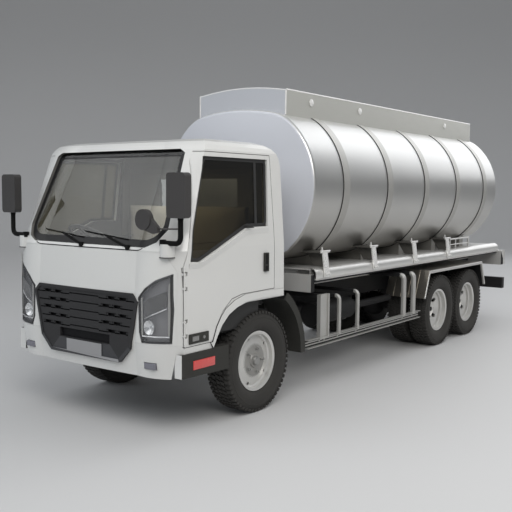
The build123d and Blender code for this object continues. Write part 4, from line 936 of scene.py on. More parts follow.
FOG_X, FOG_Y, FOG_Z = (0.6485, 0.7565), (-1.098, -1.062), (0.5265, 0.5745)
FOG_RIBS, RIB_HALF, RIB_Y, RIB_Z = 5, 0.0015, (-1.100, -1.096), (0.532, 0.569)
GRILLE_PLASTIC = finish_of("grille_plastic", (0.016, 0.016, 0.0175), 0.62, film_and_shade=0.10,
                           film_and_shade_colour=(0.06, 0.058, 0.055))
# Painted shade: the pocket floors and the mouth are painted darker than the moulding.
POCKET_SHADE = finish_of("grille_pocket_shade", (0.005, 0.005, 0.006), 0.6, specular=0.2)
INSERT_GREY = finish_of("bumper_insert", (0.032, 0.033, 0.037), 0.5, film_and_shade=0.12)
PLATE_GREY = finish_of("plate_bare", (0.26, 0.26, 0.265), 0.45, grain=200, height=0.0002, film_and_shade=0.12)
# Painted shade: black strips on the face stand for the open slots between the pockets.
SLOT_SHADE = finish_of("grille_slot_shade", (0.002, 0.002, 0.002), 0.9, height=0.0, specular=0.0)
FOG_LENS = finish_of("fog_lens", (0.16, 0.16, 0.19), 0.12, coat=0.8, grain=90, height=0.0006, film_and_shade=0.05)


def grille_part(place, normal):
    """0 frame and ribs, 1 pockets and mouth, painted darker as painted shade, 2 insert, 3 plate."""
    faces_front = normal.y < -FACING
    if abs(place.x) < PLATE_HALF and PLATE_LOW < place.z < PLATE_HIGH and faces_front and place.y < PLATE_Y:
        return 3
    if place.y > POCKET_Y and faces_front and place.z > POCKET_LOW:
        return 1
    return 2 if place.z < INSERT_HIGH else 0


def block_form(form, low, high, bevel=0.003):
    """Adds a block between two corners, its edges rounded off."""
    made = bmesh.ops.create_cube(form, size=1)["verts"]
    for vertex in made:
        vertex.co = Vector([low[i] if vertex.co[i] < 0 else high[i] for i in range(3)])
    if bevel:
        edges = list({edge for vertex in made for edge in vertex.link_edges})
        bmesh.ops.bevel(form, geom=edges, offset=bevel, segments=2, affect="EDGES", profile=0.6)


def side_block(form, side, xs, ys, zs, bevel=0.003):
    """Adds a block on one side of the truck, between two distances from its middle."""
    one, two = sorted(side * x for x in xs)
    block_form(form, at(one, ys[0], zs[0]), at(two, ys[1], zs[1]), bevel)


dress_by_face("grille", (GRILLE_PLASTIC, POCKET_SHADE, INSERT_GREY, PLATE_GREY), grille_part)
# Black strips of painted shade for the slots, and raised webs over them.
slot_shades, webs = bmesh.new(), bmesh.new()
for row in range(ROW_COUNT):
    z = ROW_FOOT + row * ROW_PITCH
    first = POCKET_PITCH * (2 if row % 2 else 2.5)
    middles = [first + step * POCKET_PITCH for step in range(3)]
    middles = [x for x in middles if x < POCKET_LIMIT + ROW_FLARE * row]
    starts = [PLAIN_HALF] + [x + POCKET_HALF - TIP for x in middles]
    ends = [x - POCKET_HALF + TIP for x in middles] + [SLOT_LIMIT + SLOT_FLARE * row]
    for side in BOTH:
        for run in zip(starts, ends):
            side_block(slot_shades, side, run, (FACE_Y - SLOT_THICK, FACE_Y), (z - SLOT_LOW, z - SLOT_HIGH), 0)
        for x in middles:
            for way in (1, -1):
                run = (x + way * (POCKET_HALF + WEB_OVER), x + way * (POCKET_HALF - TIP))
                side_block(webs, side, run, (FACE_Y, FACE_Y + WEB_DEEP), (z - WEB_HALF, z + WEB_HALF), 0)
add_form("grille_slots", slot_shades, "cab", SLOT_SHADE)
add_form("grille_webs", webs, "cab", GRILLE_PLASTIC)
fog = bmesh.new()
for side in BOTH:
    side_block(fog, side, FOG_X, FOG_Y, FOG_Z, 0.006)
    for step in range(FOG_RIBS):
        x = FOG_X[0] + (FOG_X[1] - FOG_X[0]) * (step + 0.5) / FOG_RIBS
        side_block(fog, side, (x - RIB_HALF, x + RIB_HALF), RIB_Y, RIB_Z, 0)
add_form("fog_lamps", fog, "cab", FOG_LENS, angle=40)


# ==== Mirrors ====
# Black moulded heads on bent black tubes, on a pod painted like the cab. Each head has a silvered pane at
# its back, and the kerb mirror's case is moulded in the same black plastic.
POD_MIDDLE, POD_R, POD_LOW, POD_HIGH = Vector((0.826, -1.025)), 0.062, 1.350, 1.466
PANE_X, PANE_Y, PANE_Z = (0.894, 1.044), (-1.0302, -1.0275), (1.672, 1.963)
HEAD_X, CLAMP_ZS, CLAMP_HALF_X, CLAMP_HALF_Z, CLAMP_Y = 0.969, (1.700, 1.935), 0.030, 0.016, (-1.031, -1.024)
ARM_Y, ARM_X, ARM_FOOT_X, ARM_Z, ARM_TUBE_R, ARM_BEND = -1.050, 0.975, 0.810, 1.470, 0.0195, 0.055
HEAD_COLLAR_Z, HEAD_COLLAR_R = (1.640, 1.668), 0.022
POD_COLLAR_X, POD_COLLAR_Z, POD_COLLAR_R = 0.800, (1.450, 1.494), 0.025
POD_SEAM_R, POD_SEAM_Z, POD_SEAM_THICK = 0.0595, 1.364, 0.004
POD_SEAM_START, POD_SEAM_STEP, POD_SEAM_COUNT = -175, 10, 24
MIRROR_BLACK = finish_of("mirror_case", (0.038, 0.036, 0.036), 0.50, film_and_shade=0.10, film_and_shade_top=2.2,
                         film_and_shade_colour=(0.10, 0.10, 0.095))
MIRROR_GLASS = finish_of("mirror_silver", (0.80, 0.81, 0.82), 0.06, metallic=1.0, grain=20, height=0.0)


def mirror_part(place, normal):
    """0 case and tube, 1 painted pod."""
    away = (Vector((abs(place.x), place.y)) - POD_MIDDLE).length
    return int(away < POD_R and POD_LOW < place.z < POD_HIGH)


dress_by_face("mirrors", (MIRROR_BLACK, CAB_PAINT), mirror_part)
panes, clamps, arms = bmesh.new(), bmesh.new(), bmesh.new()
for side in BOTH:
    side_block(panes, side, PANE_X, PANE_Y, PANE_Z, 0.001)
    for z in CLAMP_ZS:
        side_block(clamps, side, (HEAD_X - CLAMP_HALF_X, HEAD_X + CLAMP_HALF_X), CLAMP_Y,
                   (z - CLAMP_HALF_Z, z + CLAMP_HALF_Z), 0.004)
    tube_form(arms, [at(side * ARM_X, ARM_Y, z) for z in HEAD_COLLAR_Z], HEAD_COLLAR_R, segments=20)
    tube_form(arms, [at(side * POD_COLLAR_X, ARM_Y, z) for z in POD_COLLAR_Z], POD_COLLAR_R, segments=20)
    arm_line = [at(side * x, ARM_Y, z) for x, z in ((ARM_X, 1.650), (ARM_X, ARM_Z), (ARM_FOOT_X, ARM_Z))]
    tube_form(arms, rounded(arm_line, ARM_BEND, closed=False, steps=8), ARM_TUBE_R, segments=16)
    turns = [math.radians(POD_SEAM_START + POD_SEAM_STEP * step) for step in range(POD_SEAM_COUNT)]
    pod_seam = [at(side * (POD_MIDDLE.x + POD_SEAM_R * math.cos(turn)),
                   POD_MIDDLE.y + POD_SEAM_R * math.sin(turn), POD_SEAM_Z) for turn in turns]
    tube_form(clamps, pod_seam, POD_SEAM_THICK, segments=8)
add_form("mirror_panes", panes, "cab", MIRROR_GLASS)
add_form("mirror_clamps", clamps, "cab", MIRROR_BLACK, angle=40)
add_form("mirror_arms", arms, "cab", WIPER_BLACK, angle=40)


# ==== Doors' fittings, skirts and side lamps ====
# Dark moulded skirts under the doors with a red reflector each, a small side lamp in a dark block on each
# door's lower corner, a dark upright handle in its own recess, painted hinge covers and a pressed ledge.
REFLECTOR_X, REFLECTOR_Y, REFLECTOR_Z = (0.9490, 0.9545), (-0.886, -0.636), (0.519, 0.588)
CASE_X, CASE_Y, CASE_Z = (0.9495, 0.9600), (-0.938, -0.716), (0.719, 0.795)
LENS_X, LENS_Y, LENS_Z = (0.9590, 0.9625), (-0.905, -0.832), (0.738, 0.776)
BUTTON_PLACE, BUTTON_PROFILE = (-0.775, 0.757), ((0, 0.013), (0.006, 0.013), (0.009, 0.009))
GRIP_X = (0.9665, 0.9700)
GRIP_BLOCKS = (((-0.006, 0.036), (1.202, 1.238)), ((-0.002, 0.032), (1.252, 1.336)))
HINGE_X, HINGE_Y, HINGE_ZS, HINGE_HALF = (0.9425, 0.9496), (-0.9735, -0.9470), (0.840, 1.190), 0.0405
STRIP_X, STRIP_Y, STRIP_Z = (0.9503, 0.9515), (-0.9900, -0.9785), (0.712, 1.300)
LEDGE_LINE = ((-0.930, 1.300), (-0.806, 1.292), (-0.224, 1.528), (0.060, 1.528))
LEDGE_WIDE, LEDGE_BEND, LEDGE_LIFT, LEDGE_THICK = 0.040, 0.09, -0.001, (0.013, 0.002)
DOOR_OUTER_X, RECESS_Y = 0.9503, -0.1
SKIRT_PLASTIC = finish_of("skirt_plastic", (0.020, 0.020, 0.017), 0.66, grain=300, height=0.0005, film_and_shade=0.25,
                          film_and_shade_colour=(0.060, 0.056, 0.048))
REFLECTOR_RED = finish_of("reflector_red", (0.58, 0.055, 0.050), 0.28, coat=0.8, grain=700, film_and_shade=0.12)
SIDE_LENS = finish_of("side_lamp_lens", (0.17, 0.17, 0.165), 0.15, coat=0.8, grain=500, film_and_shade=0.1)


def block_piece(name, side, blocks, body, material, bevel):
    """A piece of one or more blocks on one side of the truck."""
    form = bmesh.new()
    for xs, ys, zs in blocks:
        side_block(form, side, xs, ys, zs, bevel)
    add_form(name, form, body, material, 40 if bevel else None)


dress_by_face("side_skirts", (SKIRT_PLASTIC, CAB_PAINT), lambda place, normal: int(normal.y < -FACING))
for side, label in SIDES:
    door_body = f"door_{label}_body"
    block_piece(f"skirt_reflector_{label}", side, [(REFLECTOR_X, REFLECTOR_Y, REFLECTOR_Z)], "cab",
                REFLECTOR_RED, 0.004)
    block_piece(f"side_lamp_case_{label}", side, [(CASE_X, CASE_Y, CASE_Z)], door_body,
                SKIRT_PLASTIC, 0.004)
    lens = bmesh.new()
    side_block(lens, side, LENS_X, LENS_Y, LENS_Z)
    turned(lens, [(side * out, radius) for out, radius in BUTTON_PROFILE], 24,
           at(side * LENS_X[0], *BUTTON_PLACE))
    add_form(f"side_lamp_lens_{label}", lens, door_body, SIDE_LENS, angle=40)
    block_piece(f"door_grip_{label}", side, [(GRIP_X, ys, zs) for ys, zs in GRIP_BLOCKS], door_body,
                SEAM_DARK, 0.003)
    dress_by_face(f"door_{label}", (CAB_PAINT, CAB_TRIM, SKIRT_PLASTIC), lambda place, normal, side=side:
                  2 if abs(place.x) > DOOR_OUTER_X and place.y > RECESS_Y
                  else int(normal.x * side < -FACING and abs(place.x) < WALL_X))
    covers = [(HINGE_X, HINGE_Y, (z - HINGE_HALF, z + HINGE_HALF)) for z in HINGE_ZS]
    block_piece(f"hinge_cover_{label}", side, covers, door_body, CAB_PAINT, 0)
    block_piece(f"hinge_strip_{label}", side, [(STRIP_X, STRIP_Y, STRIP_Z)], "cab", CAB_PAINT, 0)
    ledge = band_on(skin_of(f"door_{label}"), side_line(LEDGE_LINE, side), LEDGE_WIDE, (-side, 0, 0),
                    LEDGE_THICK[::side], radius=LEDGE_BEND, pitch=0.03, lift=LEDGE_LIFT, closed=False)
    add_form(f"door_ledge_{label}", ledge, door_body, CAB_PAINT, angle=30)


# ==== Tank skin, heads and painted shade at the straps' edges ====
# Rolled aluminium sheet with a fine brushed grain along its length, painted darker toward the bottom as a
# painted reflection, a coated paler head at each end, and satin straps painted darker toward the bottom in
# the same way, with a thin dark band of painted shade along each strap's front edge. The straps' legs are
# bars painted bright as painted highlight, on webs painted dark as painted shade.
STRAP_FIRST, STRAP_PITCH, STRAP_COUNT = 1.330, 0.910, 5
HEAD_FACING, SKIN_ANGLE = 0.75, 25
TANK_MIDDLE_Z = 1.901
LEG_X, LEG_BAR_X, LEG_LOW, LEG_HIGH = 0.602, 0.790, 1.03, 1.284
EDGE_SHADE_START, EDGE_SHADE_SWEEP, EDGE_SHADE_STEPS = 57, 294, 96
EDGE_SHADE_OUT, EDGE_SHADE_ALONG = (0.0006, 0.0062), (-0.0042, -0.0004)
# The skin's darkening toward the bottom, in a warm dark film colour, is a painted reflection.
TANK_SKIN = finish_of("tank_skin", (0.82, 0.82, 0.805), 0.34, metallic=0.93, grain=9, height=0.0, film_and_shade=1.35,
                      film_and_shade_low=1.25, film_and_shade_top=2.28, film_and_shade_colour=(0.165, 0.148, 0.120), film_and_shade_scale=0.02,
                      stretch=(1, 0.15, 1), spread=0.01)
TANK_HEAD = finish_of("tank_head", (0.58, 0.595, 0.64), 0.38, metallic=0.25, coat=0.3, grain=30,
                      height=0.00008, film_and_shade=0.20, film_and_shade_low=1.1, film_and_shade_top=2.0, film_and_shade_colour=(0.30, 0.30, 0.32))
# The straps are painted darker toward the bottom in the same way, as a painted reflection.
STRAP_SATIN = finish_of("strap_satin", (0.62, 0.615, 0.59), 0.40, metallic=0.7, grain=90, height=0.00006,
                        film_and_shade=1.2, film_and_shade_low=1.3, film_and_shade_top=2.4, film_and_shade_colour=(0.16, 0.145, 0.12),
                        film_and_shade_scale=0.02)
# Painted shade on the legs' inner webs and shelves.
LEG_SHADE = finish_of("leg_web_shade", (0.070, 0.067, 0.060), 0.7, grain=120, film_and_shade=0.2)
# A light finish: painted highlight on the legs' bars, also worn by the bolts, tray rims and boss faces.
LEG_BRIGHT = finish_of("leg_bright", (0.80, 0.795, 0.78), 0.30, metallic=0.35, coat=0.2, grain=90,
                       height=0.00005, film_and_shade=0.1)
# A thin dark band of painted shade along each strap's front edge.
STRAP_EDGE_SHADE = finish_of("strap_edge_shade", (0.018, 0.018, 0.018), 0.8, grain=300, height=0.0003, film_and_shade=0.1)


def strap_part(place, normal):
    """0 straps, 1 the leg's inner web, painted dark as painted shade, 2 the leg's bar, painted bright as
    painted highlight.
    """
    if abs(place.x) > LEG_X and LEG_LOW < place.z < LEG_HIGH:
        return 2 if abs(place.x) > LEG_BAR_X else 1
    return 0


dress_by_face("tank_shell", (TANK_SKIN, TANK_HEAD), lambda place, normal: int(abs(normal.y) > HEAD_FACING))
nodes["tank_shell"].data.set_sharp_from_angle(angle=math.radians(SKIN_ANGLE))
dress_by_face("tank_straps", (STRAP_SATIN, LEG_SHADE, LEG_BRIGHT), strap_part)
tank_surface = skin_of("tank_shell")
# Bands of painted shade along each strap's front edge, laid round the shell.
edge_shades = bmesh.new()
for step in range(STRAP_COUNT):
    centre = at(0, STRAP_FIRST + step * STRAP_PITCH, TANK_MIDDLE_Z)
    rows = []
    for turn in range(EDGE_SHADE_STEPS + 1):
        angle = math.radians(EDGE_SHADE_START - EDGE_SHADE_SWEEP * turn / EDGE_SHADE_STEPS)
        way = Vector((math.cos(angle), 0, math.sin(angle)))
        foot = laid_on(tank_surface, centre, -way)
        (near, far), (rear, front) = EDGE_SHADE_OUT, EDGE_SHADE_ALONG
        rows.append([edge_shades.verts.new(foot + way * out + Vector((0, along, 0)))
                     for out, along in ((near, rear), (near, front), (far, front), (far, rear))])
    wall_rings(edge_shades, rows)
add_form("strap_liners", edge_shades, "chassis", STRAP_EDGE_SHADE)


# ==== Tank legs' bolts ====
# Each leg's foot is bolted to the deck's edge, and a T-bolt with its nut draws the strap down on the shelf.
# The bolts are bright plated steel, and a pin lies along each shelf beside its T-bolt.
LEG_PLACES = (1.179, 2.152, 3.130, 4.081)
FOOT_BOLT_X, FOOT_BOLT_Z, FOOT_BOLT_REACH = 0.8405, 1.066, 0.024
FOOT_BOLT_PROFILE = ((0, 0.013), (0.006, 0.013), (0.006, 0.009), (0.014, 0.009))
T_BOLT_X, T_BOLT_Z = 0.770, 1.282
T_BOLT_RUNS = (((-0.002, 0.040), 0.008, 12), ((0, 0.014), 0.015, 6))
LEG_PIN_X, LEG_PIN_RISE, LEG_PIN_HALF, LEG_PIN_R = 0.808, 0.003, 0.084, 0.0075
bolts = bmesh.new()
for side in BOTH:
    for y in LEG_PLACES:
        for reach in (-FOOT_BOLT_REACH, FOOT_BOLT_REACH):
            turned(bolts, [(side * out, radius) for out, radius in FOOT_BOLT_PROFILE], 12,
                   at(side * FOOT_BOLT_X, y + reach, FOOT_BOLT_Z))
        for rises, radius, segments in T_BOLT_RUNS:
            run = [at(side * T_BOLT_X, y, T_BOLT_Z + rise) for rise in rises]
            tube_form(bolts, run, radius, segments)
        pin = [at(side * LEG_PIN_X, y + reach, T_BOLT_Z + LEG_PIN_RISE)
               for reach in (-LEG_PIN_HALF, LEG_PIN_HALF)]
        tube_form(bolts, pin, LEG_PIN_R, segments=12)
add_form("leg_bolts", bolts, "chassis", LEG_BRIGHT, angle=40)


# ==== Spill tray, manholes and lids ====
# Folded plate with a rolled bright rim and domed boss covers. Two cast lids on necks stand in the tray, each
# held by five swing bolts in clamps that turn with it.
TRAY_HALF, TRAY_TOP_Z, TRAY_FRONT_Y, TRAY_REAR_Y, TRAY_ARCH = 0.532, 2.804, 0.892, 5.400, 0.048
BOSS_PLACES, BOSS_DROP, BOSS_SEAT = (1.318, 2.277, 4.520), 0.088, 0.0055
BOSS_PROFILE = ((0, 0.036), (0.004, 0.035), (0.008, 0.026), (0.010, 0.008))
BOSS_FACE_X, PLATE_REAR_Y, PLATE_FACING = TRAY_HALF + 0.0005, TRAY_FRONT_Y + 0.008, 0.6
RIM_IN, RIM_R, POST_TOP_Z = 0.004, 0.0090, TRAY_TOP_Z - 0.004
FRONT_POST_Z, FRONT_POST_R, REAR_POST_Z, REAR_POST_R = 2.575, 0.0080, 2.560, 0.0060
ARCH_STEPS, ARCH_SHARE, ARCH_DROP, ARCH_TUBE_R = 24, 0.985, 0.0075, 0.0065
CLAMP_COUNT, CLAMP_TURN, CLAMP_ANGLE = 5, math.radians(126), 40
LID_MIDDLE_Y, LID_RISE = 0.250, 0.0235
CLAMP_LOW, CLAMP_HIGH, CLAMP_R = (0.222, -0.014, 0.002), (0.262, 0.014, 0.014), 0.246
CLAMP_BOLT, CLAMP_NUT = ((-0.050, 0.024), 0.006, 10), ((0.012, 0.022), 0.011, 6)
TRAY_PLATE = finish_of("tray_plate", (0.60, 0.60, 0.56), 0.40, metallic=0.6, grain=22, height=0.0002,
                       film_and_shade=0.12, film_and_shade_low=2.4, film_and_shade_top=2.9, film_and_shade_colour=(0.26, 0.24, 0.21),
                       stretch=(1, 0.2, 1))
TRAY_FACE = finish_of("tray_front", (0.50, 0.515, 0.55), 0.42, metallic=0.3, coat=0.2, grain=30,
                      height=0.0001, film_and_shade=0.05)
BRIGHT_STEEL = finish_of("bright_steel", (0.80, 0.80, 0.79), 0.24, metallic=0.85, grain=160, height=0.0001,
                         film_and_shade=0.10, film_and_shade_top=2.9)
dress_by_face("tank_tray", (TRAY_PLATE, TRAY_FACE, LEG_BRIGHT), lambda place, normal:
              2 if abs(place.x) > BOSS_FACE_X else int(normal.y < -PLATE_FACING and place.y < PLATE_REAR_Y))
rims = bmesh.new()
for side in BOTH:
    x = side * (TRAY_HALF - RIM_IN)
    runs = (
        # first place, last place, radius, segments
        ((TRAY_FRONT_Y + 0.006, TRAY_TOP_Z), (TRAY_REAR_Y - 0.002, TRAY_TOP_Z), RIM_R, 12),
        ((TRAY_FRONT_Y + 0.001, FRONT_POST_Z), (TRAY_FRONT_Y + 0.001, POST_TOP_Z), FRONT_POST_R, 10),
        ((TRAY_REAR_Y - 0.004, REAR_POST_Z), (TRAY_REAR_Y - 0.004, POST_TOP_Z), REAR_POST_R, 10),
    )
    for first, last, radius, segments in runs:
        tube_form(rims, side_line((first, last), x), radius, segments)
    for y in BOSS_PLACES:
        turned(rims, [(side * out, radius) for out, radius in BOSS_PROFILE], 32,
               at(side * (TRAY_HALF + BOSS_SEAT), y, TRAY_TOP_Z - BOSS_DROP))
arch_r = (TRAY_HALF ** 2 + TRAY_ARCH ** 2) / (2 * TRAY_ARCH)
arch_z = TRAY_TOP_Z + TRAY_ARCH - arch_r
arch = []
for step in range(ARCH_STEPS + 1):
    x = TRAY_HALF * ARCH_SHARE * (2 * step / ARCH_STEPS - 1)
    arch.append(at(x, TRAY_FRONT_Y + RIM_IN, arch_z + math.sqrt(arch_r ** 2 - x * x) - ARCH_DROP))
tube_form(rims, arch, ARCH_TUBE_R)
add_form("tray_rims", rims, "chassis", LEG_BRIGHT, angle=40)
dress(TRAY_PLATE, "manhole_neck_1", "manhole_neck_2")
dress(BRIGHT_STEEL, "manhole_lid_1", "manhole_lid_2")
clamp = bmesh.new()
block_form(clamp, CLAMP_LOW, CLAMP_HIGH)
for heights, radius, segments in (CLAMP_BOLT, CLAMP_NUT):
    tube_form(clamp, [Vector((CLAMP_R, 0, z)) for z in heights], radius, segments)
lid_clamps = in_ring("lid_clamps", mesh_of("lid_clamp", clamp), CLAMP_COUNT, (0, 0, 1), BRIGHT_STEEL)
lid_clamps.set_sharp_from_angle(angle=math.radians(CLAMP_ANGLE))
for count in (1, 2):
    low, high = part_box(f"manhole_lid_{count}")
    middle = ((low.x + high.x) / 2, low.y + LID_MIDDLE_Y, low.z + LID_RISE)
    ring = lid_clamps.copy()
    ring.transform(Matrix.Translation(middle) @ Matrix.Rotation(CLAMP_TURN, 4, "Z"))
    add_piece(f"lid_clamps_{count}", ring, f"lid_{count}", BRIGHT_STEEL)


# ==== Deck, sills and end boxes ====
# Zinc-coated steel: half-round sills that catch the light and a dark end on the front box. The undersides of
# the deck, sills and rear box are painted black as painted shade.
# A thin bead runs along each sill, and a bright plate closes the rear box on each side.
DECK_FRONT_Y, DECK_LOW_Z, SILL_LOW_Z, REAR_BOX_LOW_Z = 1.01, 1.0, 1.020, 0.9
END_X, END_Y, END_Z = (0.8640, 0.8700), (5.960, 6.026), (0.825, 1.025)
SILL_LINE, SILL_LINE_X, SILL_LINE_R = ((1.010, 1.018), (5.865, 1.018)), 0.8195, 0.0035
DECK_STEEL = finish_of("deck_steel", (0.60, 0.595, 0.58), 0.40, metallic=0.35, grain=60, film_and_shade=0.45,
                       film_and_shade_top=1.6, film_and_shade_colour=(0.13, 0.12, 0.105))
SILL_STEEL = finish_of("sill_steel", (0.74, 0.735, 0.715), 0.33, metallic=0.7, grain=40, height=0.00006,
                       film_and_shade=0.25, film_and_shade_top=1.5, film_and_shade_colour=(0.17, 0.155, 0.135), stretch=(1, 0.1, 1))
# Black chassis paint, darkened further as painted shade, and the black of the painted shade on undersides.
CHASSIS_BLACK_AND_SHADE = finish_of("chassis_black_and_shade", (0.012, 0.012, 0.013), 0.60, grain=80, height=0.0005, film_and_shade=0.40,
                          film_and_shade_top=1.2, film_and_shade_colour=(0.034, 0.033, 0.031), specular=0.25)
# The front box's ends are dark. Faces that look down, and low faces that look back, are painted black as
# painted shade.
dress_by_face("deck", (DECK_STEEL, CHASSIS_BLACK_AND_SHADE), lambda place, normal:
              int(abs(normal.x) > FACING and place.y < DECK_FRONT_Y or normal.z < -FACING
                  or place.z < DECK_LOW_Z and normal.y > FACING))
# The sill's lower strip and the rear box's undersides and low sides are painted black as painted shade.
dress_by_face("deck_sills", (SILL_STEEL, CHASSIS_BLACK_AND_SHADE), lambda place, normal: int(place.z < SILL_LOW_Z))
dress_by_face("rear_box", (DECK_STEEL, CHASSIS_BLACK_AND_SHADE), lambda place, normal:
              int(normal.z < -FACING or abs(normal.x) > FACING and place.z < REAR_BOX_LOW_Z))
trims = bmesh.new()
for side in BOTH:
    side_block(trims, side, END_X, END_Y, END_Z, 0.002)
    tube_form(trims, side_line(SILL_LINE, side * SILL_LINE_X), SILL_LINE_R, segments=8)
add_form("deck_trims", trims, "chassis", SILL_STEEL, angle=40)


# ==== Side guards, fenders and mudguards ====
# Galvanised channels and posts, pressed fenders with a rolled bright lip and with their undersides and inner
# parts painted black as painted shade, and black moulded front mudguards.
# Round-headed bolts hold each guard's lower channel on its posts.
GUARD_X, GUARD_RAIL_X, GUARD_RAIL_Z = 0.84, 0.866, 0.49
FENDER_X, FENDER_INNER_X, FENDER_FACING = 0.909, 0.43, 0.1
FENDER_LIP_X, FENDER_LIP_R, FENDER_BEND = 0.9295, 0.006, 0.03
FENDER_LINE = ((3.187, 0.632), (3.309, 0.929), (4.962, 0.929), (5.083, 0.632))
GUARD_BOLT_PLACES, GUARD_BOLT_X, GUARD_BOLT_Z = (1.003, 1.087, 1.331, 1.693, 2.740, 2.985), 0.8605, 0.447
GUARD_BOLT_PROFILE = ((0, 0.012), (0.007, 0.012), (0.009, 0.008))
GALVANISED = finish_of("galvanised", (0.50, 0.495, 0.475), 0.42, metallic=0.6, grain=70, film_and_shade=0.40,
                       film_and_shade_top=1.0, film_and_shade_colour=(0.16, 0.15, 0.13))
FENDER_LIP = finish_of("fender_lip", (0.60, 0.595, 0.575), 0.32, metallic=0.6, coat=0.2, grain=70,
                       height=0.0002, film_and_shade=0.3, film_and_shade_top=1.1, film_and_shade_colour=(0.18, 0.17, 0.15))
FENDER_SHEET = finish_of("fender_sheet", (0.40, 0.375, 0.335), 0.30, metallic=0.9, grain=30, height=0.00004,
                         film_and_shade=0.3, film_and_shade_top=1.0, film_and_shade_colour=(0.15, 0.13, 0.11), spread=0.03)
dress_by_face("side_guards", (GALVANISED, CHASSIS_BLACK_AND_SHADE), lambda place, normal:
              int(abs(place.x) < GUARD_X or abs(place.x) < GUARD_RAIL_X and place.z < GUARD_RAIL_Z
                  and abs(normal.x) > FACING))
# The fenders' undersides and inner parts are painted black as painted shade.
dress_by_face("rear_fenders", (FENDER_SHEET, FENDER_LIP, CHASSIS_BLACK_AND_SHADE), lambda place, normal:
              1 if abs(place.x) > FENDER_X
              else 2 * int(normal.z < -FENDER_FACING or abs(place.x) < FENDER_INNER_X))
dress(SKIRT_PLASTIC, "front_mudguards")
lips, guard_bolts = bmesh.new(), bmesh.new()
for side in BOTH:
    line = rounded(side_line(FENDER_LINE, side * FENDER_LIP_X), FENDER_BEND, closed=False)
    tube_form(lips, line, FENDER_LIP_R)
    for y in GUARD_BOLT_PLACES:
        turned(guard_bolts, [(side * out, radius) for out, radius in GUARD_BOLT_PROFILE], 12,
               at(side * GUARD_BOLT_X, y, GUARD_BOLT_Z))
add_form("fender_lips", lips, "chassis", FENDER_LIP, angle=40)
add_form("guard_bolts", guard_bolts, "chassis", GALVANISED, angle=40)


# ==== Chassis, axles and what hangs from them ====
# Black chassis paint under road dirt, darkened further as painted shade under the deck, and the silencer
# painted the same black as painted shade. U-bolts hold the springs to the axles, and the fuel tank, with its
# filler cap on its side, hangs in two steel bands.
AXLE_SEATS = ((0.0, 0.475), (3.683, 0.482), (4.586, 0.482))
U_BOLT_X, U_BOLT_REACH, U_BOLT_DROP, U_BOLT_RISE = (0.304, 0.380), 0.055, -0.030, 0.058
U_BOLT_R, U_BOLT_BEND = 0.007, 0.02
BAND_PLACES, BAND_HALF, BAND_WIRE_R, BAND_BEND = (1.600, 2.260), 0.014, 0.0045, 0.03
BAND_LINE = ((-0.430, 0.826), (-0.792, 0.8345), (-0.8395, 0.785), (-0.8395, 0.515), (-0.790, 0.4655),
             (-0.470, 0.4655))
FILLER_PLACE, FILLER_PROFILE = (-0.834, 2.120, 0.700), ((0, 0.046), (-0.030, 0.046), (-0.036, 0.040))
ENGINE_GREY = finish_of("engine_casting", (0.085, 0.088, 0.090), 0.6, metallic=0.3, grain=60, height=0.002,
                        film_and_shade=0.5, film_and_shade_top=1.0, film_and_shade_colour=(0.07, 0.065, 0.06))
FUEL_PAINT = finish_of("fuel_tank_paint", (0.060, 0.061, 0.062), 0.4, coat=0.2, grain=120, height=0.0003,
                       film_and_shade=0.5, film_and_shade_top=1.0, film_and_shade_colour=(0.09, 0.085, 0.078))
PIPE_STEEL = finish_of("pipe_steel", (0.22, 0.215, 0.20), 0.5, metallic=0.7, grain=90, film_and_shade=0.5, film_and_shade_top=1.0,
                       film_and_shade_colour=(0.13, 0.105, 0.085))
# The silencer takes the black as painted shade.
dress(CHASSIS_BLACK_AND_SHADE, "frame", "front_axle", "knuckle_left", "knuckle_right", "tie_rod", "drive_axles",
      "rear_springs", "underrun_bar", "silencer")
dress(ENGINE_GREY, "engine_and_gearbox")
dress(FUEL_PAINT, "fuel_tank")
dress(BRIGHT_STEEL, "outlet_pipe")
under = bmesh.new()
for side in BOTH:
    for axle_y, seat_z in AXLE_SEATS:
        for reach in (-U_BOLT_REACH, U_BOLT_REACH):
            one, two = sorted(side * x for x in U_BOLT_X)
            ends = [at(x, axle_y + reach, seat_z + rise) for x, rise in (
                (one, U_BOLT_DROP), (one, U_BOLT_RISE), (two, U_BOLT_RISE), (two, U_BOLT_DROP))]
            tube_form(under, rounded(ends, U_BOLT_BEND, closed=False), U_BOLT_R, segments=8)
for y in BAND_PLACES:
    for width in (-BAND_HALF, BAND_HALF):
        line = rounded([at(x, y + width, z) for x, z in BAND_LINE], BAND_BEND, closed=False)
        tube_form(under, line, BAND_WIRE_R, segments=8)
turned(under, FILLER_PROFILE, 24, at(*FILLER_PLACE))
add_form("chassis_fixings", under, "chassis", PIPE_STEEL, angle=40)


# ==== Tail lamps ====
# Red moulded lenses in the ends of the rear box. Each has an amber pane let into its outer end and a clear
# pane into its inner end.
PANE_DEEP, PANE_TALL = (6.040, 6.0529), (0.862, 0.978)
TAIL_RED = finish_of("tail_red", (0.36, 0.020, 0.018), 0.20, coat=0.9, height=0.0006, film_and_shade=0.2, film_and_shade_top=1.2)
TAIL_AMBER = finish_of("tail_amber", (0.62, 0.24, 0.03), 0.20, coat=0.9, height=0.0006, film_and_shade=0.15)
TAIL_CLEAR = finish_of("tail_clear", (0.55, 0.55, 0.54), 0.18, coat=0.9, height=0.0006, film_and_shade=0.15)
dress(TAIL_RED, "tail_lamps")
for name, material, run in (("tail_amber_panes", TAIL_AMBER, (0.768, 0.838)),
                            ("tail_clear_panes", TAIL_CLEAR, (0.602, 0.662))):
    form = bmesh.new()
    for side in BOTH:
        side_block(form, side, run, PANE_DEEP, PANE_TALL)
    add_form(name, form, "chassis", material, angle=40)


